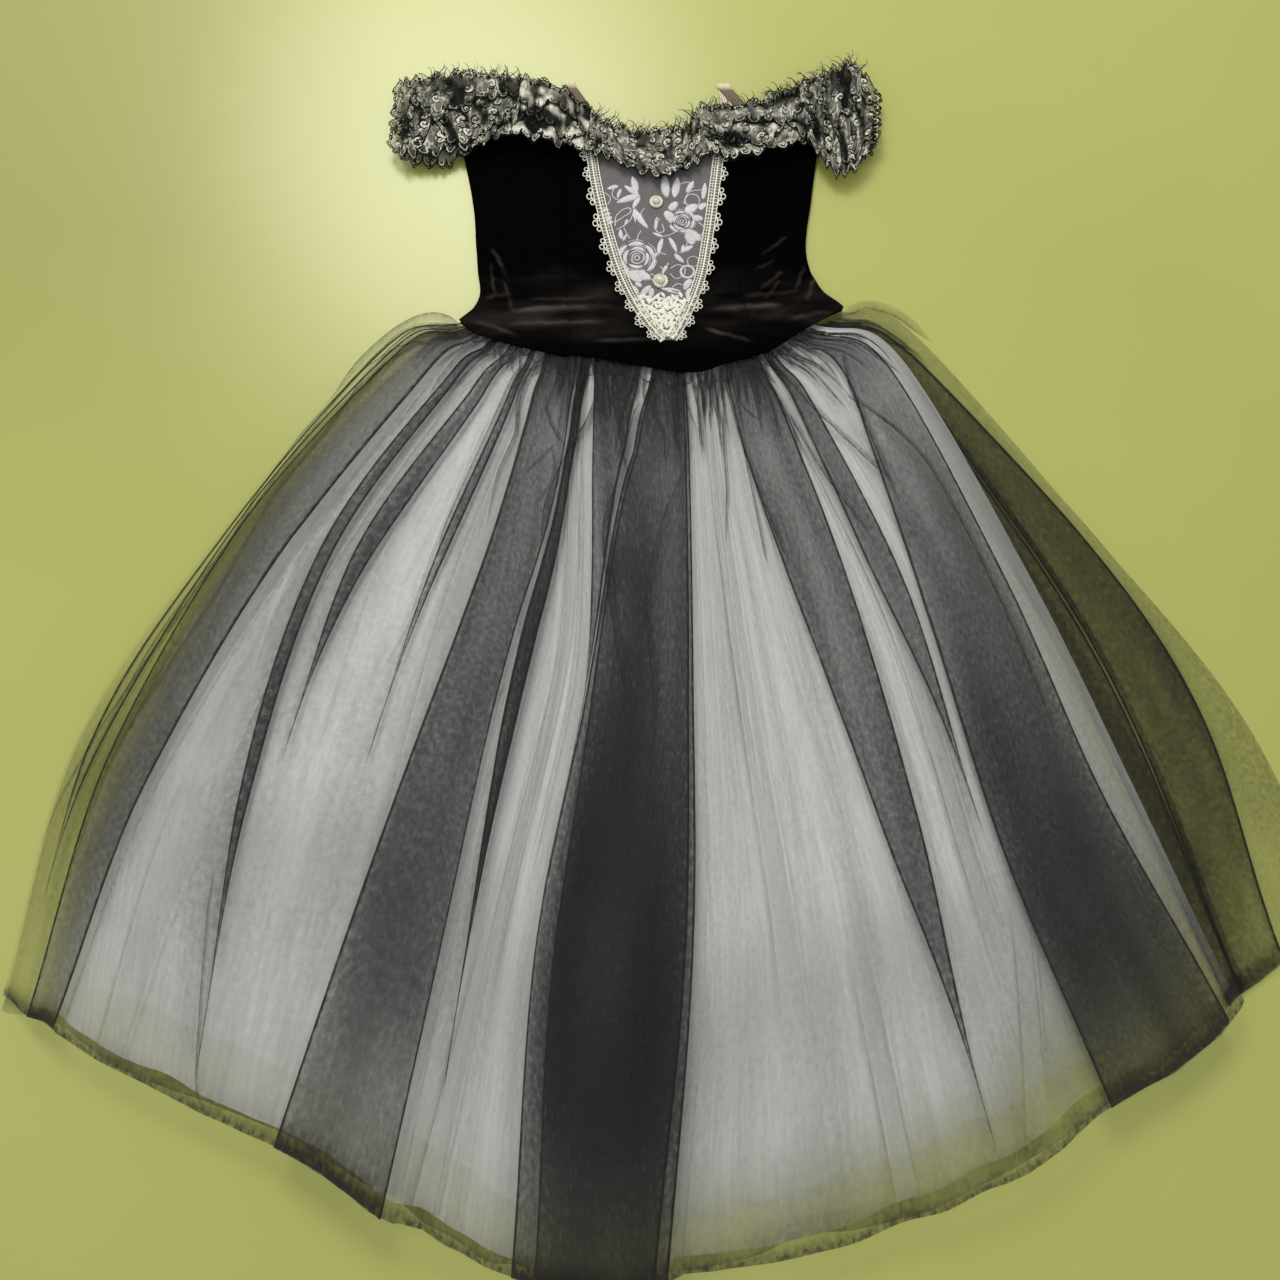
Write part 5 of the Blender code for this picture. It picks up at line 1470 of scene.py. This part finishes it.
def free_ends(ruffle):
    """Whether a ruffle's left end and its right end are free: only the sleeves' outer ends are."""
    sleeve = ruffle.name.startswith("sleeve")
    return sleeve and ruffle.name.endswith("left"), sleeve and ruffle.name.endswith("right")


def ruffle_plan(ruffle, along, up):
    """Plan points of a ruffle: its edges swing in and out with its folds, and its free ends run in lobes."""
    along, up = np.asarray(along, float), np.asarray(up, float)
    at = along * (len(ruffle.lower) - 1)
    lower, upper = spline(ruffle.lower, at), spline(ruffle.upper, at)
    swing = 0.55 * drift(1.9 * ruffle.waves * along, 2.0 * up, 91)
    swing = swing + 0.45 * np.cos(2.0 * math.pi * ruffle.waves * along)
    sideways = (2.0 * up - 1.0) ** 3 * EDGE_SWING * swing
    place = lower + (upper - lower) * up[..., None] + np.stack([0.0 * sideways, sideways], axis=-1)
    lobe = END_LOBE * (np.abs(np.sin(math.pi * 4.0 * up)) - 0.5)
    free_left, free_right = free_ends(ruffle)
    if free_left:
        place[..., 0] -= lobe * smooth((0.12 - along) / 0.12)
    elif free_right:
        place[..., 0] += lobe * smooth((along - 0.88) / 0.12)
    return place


def fold_shade_and_tone(ruffle, along, up):
    """Painted shade in a ruffle's fold valleys and highlight on its crests, times paler and darker patches
    and its tone.
    """
    patches = drift(1.21 * ruffle.waves * along, 4.5 * up, 93)
    patches = patches + 0.6 * drift(3.1 * ruffle.waves * along, 9.0 * up, 94)
    pale = np.clip(ruffle.pale + 0.12 + 1.15 * patches, 0.05, 1.5)
    return (0.06 + 0.94 * fold_wave(ruffle, along, up)) * pale


def ruffle_height(ruffle, along, up, x, y):
    """Height of the middle of a ruffle's lace, whose waves are small where it is drawn in."""
    if ruffle.lift is None:
        floor_height = LACE_WALL / 2
    else:
        floor_height = velvet_height(x, np.minimum(y, SEAM_Y[-1])) + VELVET_WALL / 2 + ruffle.lift
    reach = max(ruffle.gathered, 1.0 - ruffle.gathered)
    swell = LEAST_WAVE + (1.0 - LEAST_WAVE) * np.abs(up - ruffle.gathered) / reach
    return floor_height + 1.3 * ruffle.height * swell * fold_wave(ruffle, along, up)


def on_ruffle(ruffle, along, up, rise=0.0):
    place = ruffle_plan(ruffle, along, up)
    x, y = place[..., 0], place[..., 1]
    return np.stack([x, y, ruffle_height(ruffle, along, up, x, y) + rise], axis=-1)


def lace_material(name, black, silver):
    """Black and silver lace by each point's silver value and ground scrolls, with painted fold shade and
    highlight.
    """
    material, tree, shader = start_material(name, {"Roughness": 0.55, "Specular IOR Level": 0.12})
    cloth = put(tree, "ShaderNodeAttribute", {}, attribute_name="lace").outputs["Vector"]
    share = put(tree, "ShaderNodeAttribute", {}, attribute_name="silver").outputs["Fac"]
    fold = put(tree, "ShaderNodeAttribute", {}, attribute_name="fold").outputs["Fac"]
    sway = put(tree, "ShaderNodeTexNoise", {"Vector": cloth, "Scale": 120.0, "Detail": 2.0}).outputs["Color"]
    swayed = {0: sway, 1: (0.009, 0.009, 0.0)}
    bent = put(tree, "ShaderNodeVectorMath", swayed, operation="MULTIPLY").outputs[0]
    place = put(tree, "ShaderNodeVectorMath", {0: cloth, 1: bent}, operation="ADD").outputs[0]
    cells = put(tree, "ShaderNodeTexVoronoi", {"Vector": place, "Scale": 105.0}).outputs["Distance"]
    scrolls = calc(tree, "SINE", calc(tree, "MULTIPLY", cells, 13.0))
    thread = noise(tree, cloth, 900.0, 2.0, 0.6)
    twist = spread(tree, thread, 0.30, 0.60, 0.3, 1.0)
    worked = calc(tree, "MULTIPLY", spread(tree, scrolls, 0.10, 0.70), twist)
    patches = spread(tree, noise(tree, cloth, 75.0), 0.36, 0.66, 0.15, 1.0)
    ground = spread(tree, calc(tree, "MULTIPLY", worked, patches), 0.0, 1.0, 0.10, 0.62)
    raised = put(tree, "ShaderNodeAttribute", {}, attribute_name="raised").outputs["Fac"]
    grained = calc(tree, "MULTIPLY", share, spread(tree, thread, 0.30, 0.60, 0.6, 1.0))
    both = calc(tree, "ADD", calc(tree, "MULTIPLY", ground, calc(tree, "SUBTRACT", 1.0, raised)), grained)
    # Painted shade and highlight: the fold value darkens the lace in its valleys and lightens it on its
    # crests.
    painted_fold_light = calc(tree, "MULTIPLY", both, spread(tree, fold, 0.16, 0.90, 0.0, 2.1))
    tree.links.new(mix_colour(tree, painted_fold_light, black, silver), shader.inputs["Base Color"])
    cover = put(tree, "ShaderNodeAttribute", {}, attribute_name="cover").outputs["Fac"]
    tree.links.new(cover, shader.inputs["Alpha"])
    bump(tree, shader, calc(tree, "ADD", thread, scrolls), 0.0006, 0.7)
    return material


LACE_BLACK, LACE_SILVER = (0.003, 0.0026, 0.0024, 1.0), (0.820, 0.797, 0.655, 1.0)
black_silver_lace = lace_material("black and silver lace", LACE_BLACK, LACE_SILVER)


def flat_strip(path, width, rise):
    """A thread two faces wide: its edges lie on the ground and its middle is raised."""
    path = np.asarray(path, float)
    aside = across_path(path)
    left, right = path - aside * width / 2.0, path + aside * width / 2.0
    points = np.stack([
        np.column_stack([left, np.zeros(len(path))]),
        np.column_stack([path, np.full(len(path), rise)]),
        np.column_stack([right, np.zeros(len(path))]),
    ], axis=1).reshape(-1, 3)
    return points, grid_faces(len(path), 3).tolist()


def threads_unit(parts):
    """A unit of lace from (thread, silver) pairs."""
    points, faces = joined([solid for solid, _ in parts])
    return points, faces, np.concatenate([np.full(len(solid[0]), shine) for solid, shine in parts])


def rosette_unit(size):
    """A scroll of silver thread with a black outline, and two small petals."""
    turns = np.linspace(0.0, 1.0, 10)
    angles = 2.0 * math.pi * 0.95 * turns
    reach = size * (0.10 + 0.30 * turns)
    scroll = np.column_stack([reach * np.cos(angles), reach * np.sin(angles)])
    petal = np.array([(0.26, -0.36), (0.46, -0.24), (0.54, 0.02), (0.44, 0.26)]) * size
    return threads_unit([
        (flat_strip(scroll, 0.22 * size, 0.10 * size), 0.62),
        (flat_strip(scroll * 1.40 + (0.0004, 0.0), 0.11 * size, 0.13 * size), 0.0),
        (flat_strip(petal, 0.24 * size, 0.09 * size), 0.50),
        (flat_strip(-petal, 0.12 * size, 0.11 * size), 0.0),
    ])


def edge_unit(width, depth):
    """One scallop of an edge: a chain of small black loops, with a silver cord and a black one inside it."""
    angles = np.linspace(-0.1, math.pi + 0.1, 9)
    arc = np.column_stack([-0.5 * width * np.cos(angles), -depth * np.sin(angles)])
    turn = np.linspace(0.0, 2.0 * math.pi, 8)
    loop = np.column_stack([np.cos(turn), np.sin(turn)]) * 0.00150
    chain = [(flat_strip(spline(arc, at) + loop, 0.00100, 0.0012), 0.0) for at in np.linspace(0.3, 7.7, 7)]
    return threads_unit(chain + [
        (flat_strip(arc * 0.64, 0.0018, 0.0009), 0.50),
        (flat_strip(arc * 0.34, 0.0012, 0.0011), 0.0),
    ])


rosette = rosette_unit(ROSETTE)
scalloped = edge_unit(EDGE_SCALLOP, EDGE_DEPTH)
for number, ruffle in enumerate(RUFFLES):
    columns = ruffle.waves * COLUMNS_A_WAVE
    free_left, free_right = free_ends(ruffle)
    first, last = (0.0 if free_left else -OVERLAP), (1.0 if free_right else 1.0 + OVERLAP)
    along, up = np.meshgrid(np.linspace(first, last, columns + 1), np.linspace(1.0, 0.0, RUFFLE_ROWS))
    ground_points = on_ruffle(ruffle, along, up).reshape(-1, 3)
    cloth = np.stack([along * ruffle.flat_length, up * ruffle.flat_width, 0.0 * up + number], axis=-1)
    middle = ruffle_plan(ruffle, np.linspace(0.0, 1.0, 40), np.full(40, 0.5))
    shown_length = float(np.hypot(*np.diff(middle, axis=0).T).sum())
    solids, silvers, folds = [], [], []
    rows = max(4, round(ruffle.flat_width / (0.80 * ROSETTE)))
    for row in range(rows):
        count = max(2, round(shown_length * 0.70 * ruffle.worked / ROSETTE))
        laid, faces, shine = lay_row(
            rosette, count, 1.0, turn=3.1, least_size=0.48,
            seed=100 * number + row, thread=black_silver_lace,
        )
        place = np.round(laid[:, 0])
        share = (place + 0.5 + 0.8 * drift(place + 0.5, row + 0.5, 95)) / count
        share = share + (laid[:, 0] - place) / shown_length
        height = (row + 0.5) / rows + laid[:, 1] / ruffle.flat_width
        height = height + 0.10 * drift(place + 0.5, row + 7.5, 96)
        share, height = np.clip(share, 0.0, 1.0), np.clip(height, 0.0, 1.0)
        solids.append((on_ruffle(ruffle, share, height, WORK_LIFT + laid[:, 2]), faces))
        silvers.append(shine * (1.0 + 0.60 * np.sin(12.9 * place + 4.1 * row + number)))
        # Painted fold shade and highlight for the rosettes.
        folds.append(fold_shade_and_tone(ruffle, share, height))
    edges = [(0.0, 1.0, 1.0), (1.0, -1.0, 0.9)]
    if ruffle.flat_width > DEEP_RUFFLE:
        edges += [(up_at, 1.0, 0.7) for up_at in INNER_CHAINS]
    for edge, outward, shade in edges:
        count = max(4, round(shown_length * 1.1 / EDGE_SCALLOP))
        laid, faces, shine = lay_row(
            scalloped, count, 1.0, turn=0.25, least_size=0.75,
            seed=100 * number + 50, thread=black_silver_lace,
        )
        place = np.round(laid[:, 0])
        share = (place + 0.5) / count + (laid[:, 0] - place) / shown_length
        inner = smooth(min(edge, 1.0 - edge) / 0.2)
        wander = INNER_WANDER * inner * drift(1.3 * ruffle.waves * share, 3.0 * edge, 97)
        height = edge + wander + outward * (laid[:, 1] + EDGE_GAP) / ruffle.flat_width
        faces = turned_over(faces, outward < 0)
        share = np.clip(share, 0.0, 1.0)
        solids.append((on_ruffle(ruffle, share, height, CHAIN_LIFT + laid[:, 2]), faces))
        silvers.append(shine)
        # Painted fold shade for the chains, darker on the inner ones.
        folds.append(shade * (0.35 + 0.65 * fold_shade_and_tone(ruffle, share, height)))
    if free_left or free_right:
        count = max(4, round(ruffle.flat_width / EDGE_SCALLOP))
        laid, faces, shine = lay_row(
            scalloped, count, 1.0, turn=0.25, least_size=0.80,
            seed=100 * number + 60, thread=black_silver_lace,
        )
        place = np.round(laid[:, 0])
        height = (place + 0.5) / count + (laid[:, 0] - place) / ruffle.flat_width
        out = -(laid[:, 1] + EDGE_GAP) / shown_length
        share = -out if free_left else 1.0 + out
        end = on_ruffle(ruffle, share, np.clip(height, 0.0, 1.0), CHAIN_LIFT + laid[:, 2])
        solids.append((end, turned_over(faces, free_left)))
        silvers.append(shine)
        # A fixed painted light for the scallops on a free end.
        folds.append(0.8 + 0.0 * share)
    raised_points, raised_faces = joined(solids)
    shine, raised_fold_shade = np.concatenate(silvers), np.concatenate(folds)
    plain = np.zeros(len(ground_points))
    free_end = smooth((0.25 - along) / 0.25) if free_left else smooth((along - 0.75) / 0.25) * free_right
    least = BACK_RUFFLE_HIDES if ruffle.lift is None else FRONT_RUFFLE_HIDES
    cover = least * (1.0 - 0.60 * free_end) + 0.0 * up
    faces = grid_faces(RUFFLE_ROWS, columns + 1)
    ground = add_mesh(ruffle.name + "_net", ground_points, faces, black_silver_lace, {
        "lace": cloth, "silver": plain + 0.50 * (1.0 - ruffle.worked), "raised": plain,
        "fold": fold_shade_and_tone(ruffle, along, up), "cover": cover,
    })
    ones = np.ones(len(shine))
    work = add_mesh(ruffle.name + "_work", raised_points, raised_faces, black_silver_lace, {
        "lace": raised_points, "silver": shine, "raised": ones, "fold": raised_fold_shade, "cover": ones,
    })
    for piece in (ground, work):
        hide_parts(ruffle.name)


# Eyelash edge
# Fine hairs stand out of the ruffles' top edge like an eyelash fringe, black with a few silver ones between.
# Each is tapered, and curls at its tip.
Lashes = namedtuple("Lashes", "name ruffle start stop hairs length")
LASHES = (
    Lashes("lashes_left", "sleeve_left", start=0.30, stop=0.99, hairs=40, length=0.021),
    Lashes("lashes_middle", "neck_ruffle", start=0.02, stop=0.98, hairs=52, length=0.023),
    Lashes("lashes_right", "swag_right", start=0.03, stop=0.99, hairs=44, length=0.022),
    Lashes("lashes_sleeve", "sleeve_right", start=0.06, stop=0.80, hairs=34, length=0.024),
)
HAIR_WIDTH = 0.00165
HAIR_POINTS = 8

lash_black, tree, shader = start_material("lash black", {"Roughness": 0.5, "Specular IOR Level": 0.4})
lash_place = put(tree, "ShaderNodeTexCoord", {}).outputs["Object"]
lash_shade = spread(tree, noise(tree, lash_place, 500.0), 0.35, 0.65)
lash_silver = put(tree, "ShaderNodeAttribute", {}, attribute_name="silver").outputs["Fac"]
lash_dark = mix_colour(tree, lash_shade, (0.008, 0.007, 0.007, 1.0), (0.040, 0.036, 0.034, 1.0))
lash_colour = mix_colour(tree, lash_silver, lash_dark, (0.420, 0.410, 0.390, 1.0))
tree.links.new(lash_colour, shader.inputs["Base Color"])


def hair_unit(length):
    """A three-sided hair that leaves the edge straight and curls over at its tip."""
    shares = np.linspace(0.0, 1.0, HAIR_POINTS)
    heading = np.radians(90.0 - 14.0 * shares + 230.0 * np.maximum(shares - 0.66, 0.0) ** 1.2)
    steps = np.column_stack([np.cos(heading), np.sin(heading)]) * length / (HAIR_POINTS - 1)
    path = np.cumsum(steps, axis=0) - steps[0] - (0.0, 0.004)
    widths = HAIR_WIDTH * (1.0 - 0.75 * shares)
    lifts = 0.0016 * np.sin(2.4 * shares)
    aside = across_path(path)
    points, faces = [], []
    for step in range(HAIR_POINTS):
        for offset, rise in ((-0.5, 0.0), (0.5, 0.0), (0.0, 0.85)):
            x, y = path[step] + aside[step] * offset * widths[step]
            points.append((x, y, lifts[step] + rise * widths[step]))
    for step in range(HAIR_POINTS - 1):
        here, after = 3 * step, 3 * step + 3
        faces += [(here + k, here + (k + 1) % 3, after + (k + 1) % 3, after + k) for k in range(3)]
    faces += [(0, 2, 1), (after, after + 1, after + 2)]
    return np.array(points), faces, np.zeros(len(points))


for number, lashes in enumerate(LASHES):
    ruffle = next(row for row in RUFFLES if row.name == lashes.ruffle)
    hair = hair_unit(lashes.length)
    laid, faces, _ = lay_row(
        hair, lashes.hairs, 1.0, turn=0.42, least_size=0.50, seed=300 + number, thread=lash_black
    )
    place = np.round(laid[:, 0])
    share = lashes.start + (lashes.stop - lashes.start) * (place + 0.5) / lashes.hairs
    top = np.ones(len(share))
    edge = ruffle_plan(ruffle, share, top)
    run = ruffle_plan(ruffle, share + 0.02, top) - ruffle_plan(ruffle, share - 0.02, top)
    run = run / np.hypot(run[:, 0], run[:, 1])[:, None]
    out = np.column_stack([-run[:, 1], run[:, 0]])
    spots = edge + run * (laid[:, 0] - place)[:, None] + out * laid[:, 1:2]
    root = ruffle_height(ruffle, share, top, edge[:, 0], edge[:, 1]) + LACE_WALL / 2
    silver = 1.0 * (np.sin(7.7 * place + number) > 0.75)
    hairs = np.column_stack([spots, root + laid[:, 2]])
    piece = add_mesh(lashes.name + "_hairs", hairs, faces, lash_black, {"silver": silver})
    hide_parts(lashes.name)


# Straps
# Beige elastic sewn inside the back: each strap comes out at the neck, turns over in a loop and lies back on
# itself, a little askew. The ply that lies back is painted dark brown: painted shade inside the loop.
Strap = namedtuple("Strap", "name x width top back lean fan")
STRAPS = (
    Strap("strap_left", x=-0.070, width=0.014, top=0.934, back=0.888, lean=-0.008, fan=0.026),
    Strap("strap_right", x=0.101, width=0.014, top=0.931, back=0.892, lean=-0.010, fan=0.026),
)
ELASTIC_WALL = 0.0012
STRAP_PLY = 0.0020
STRAP_COLUMNS = 9
UNDER_POINTS, BEND_POINTS, TOP_POINTS = 10, 7, 8

elastic, tree, shader = start_material("beige elastic", {"Roughness": 0.8, "Sheen Weight": 0.15})
elastic_place = put(tree, "ShaderNodeAttribute", {}, attribute_name="cloth").outputs["Vector"]
along_elastic = {"Vector": elastic_place, "Scale": 130.0, "Distortion": 0.6}
across_elastic = {"Vector": elastic_place, "Scale": 210.0, "Distortion": 0.8}
ribs = put(tree, "ShaderNodeTexWave", along_elastic, bands_direction="X").outputs["Fac"]
weft = put(tree, "ShaderNodeTexWave", across_elastic, bands_direction="Y").outputs["Fac"]
elastic_shade = calc(tree, "MULTIPLY", ribs, spread(tree, weft, 0.0, 1.0, 0.7, 1.0))
elastic_right = mix_colour(tree, elastic_shade, (0.520, 0.455, 0.270, 1.0), (0.900, 0.830, 0.600, 1.0))
# Painted shade: the ply that lies back, inside the loop, is a dark brown copy of the elastic.
elastic_painted_shade = mix_colour(tree, elastic_shade, (0.085, 0.060, 0.030, 1.0), (0.260, 0.200, 0.110, 1.0))
painted_shade_share = put(tree, "ShaderNodeSeparateXYZ", {0: elastic_place}).outputs[2]
tree.links.new(mix_colour(tree, painted_shade_share, elastic_right, elastic_painted_shade), shader.inputs["Base Color"])
bump(tree, shader, elastic_shade, 0.0003, 0.8)

for strap in STRAPS:
    low, high = ELASTIC_WALL / 2, ELASTIC_WALL / 2 + STRAP_PLY
    neck_x, neck_y = zip(*NECK_EDGE)
    start = float(between(neck_x, neck_y, strap.x)) + 3.0 * SEAM
    turn_back = strap.top - STRAP_PLY
    angles = np.linspace(-1.5, 1.5, BEND_POINTS)
    bend_y, bend_z = STRAP_PLY * np.cos(angles), STRAP_PLY / 2 * np.sin(angles)
    run = [(y, low) for y in np.linspace(start, turn_back - STRAP_PLY, UNDER_POINTS)]
    run += list(zip(turn_back + bend_y, (low + high) / 2 + bend_z))
    run += [(y, high) for y in np.linspace(turn_back - STRAP_PLY, strap.back, TOP_POINTS)]
    run = np.array(run)
    gone = np.concatenate([[0.0], np.cumsum(np.hypot(*np.diff(run, axis=0).T))])
    to_turn = gone[-TOP_POINTS]
    up_share = np.minimum(gone / to_turn, 1.0)
    back_share = np.maximum(gone - to_turn, 0.0) / (gone[-1] - to_turn)
    shift = strap.lean * up_share + strap.fan * back_share
    across = np.linspace(-0.5, 0.5, STRAP_COLUMNS) * strap.width
    x = strap.x + across[None, :] + shift[:, None]
    y = np.broadcast_to(run[:, :1], x.shape)
    z = np.broadcast_to(run[:, 1:], x.shape)
    shaded_ply = np.minimum(8.0 * back_share, 1.0)[:, None] + 0.0 * x
    cloth = np.stack([across + 0.0 * x, gone[:, None] + 0.0 * x, shaded_ply], axis=-1)
    faces = grid_faces(len(run), STRAP_COLUMNS)[:, ::-1]
    piece = add_mesh(strap.name + "_elastic", np.stack([x, y, z], axis=-1), faces, elastic, {"cloth": cloth})
    give_wall(piece, ELASTIC_WALL, 0.0003)
    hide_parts(strap.name)
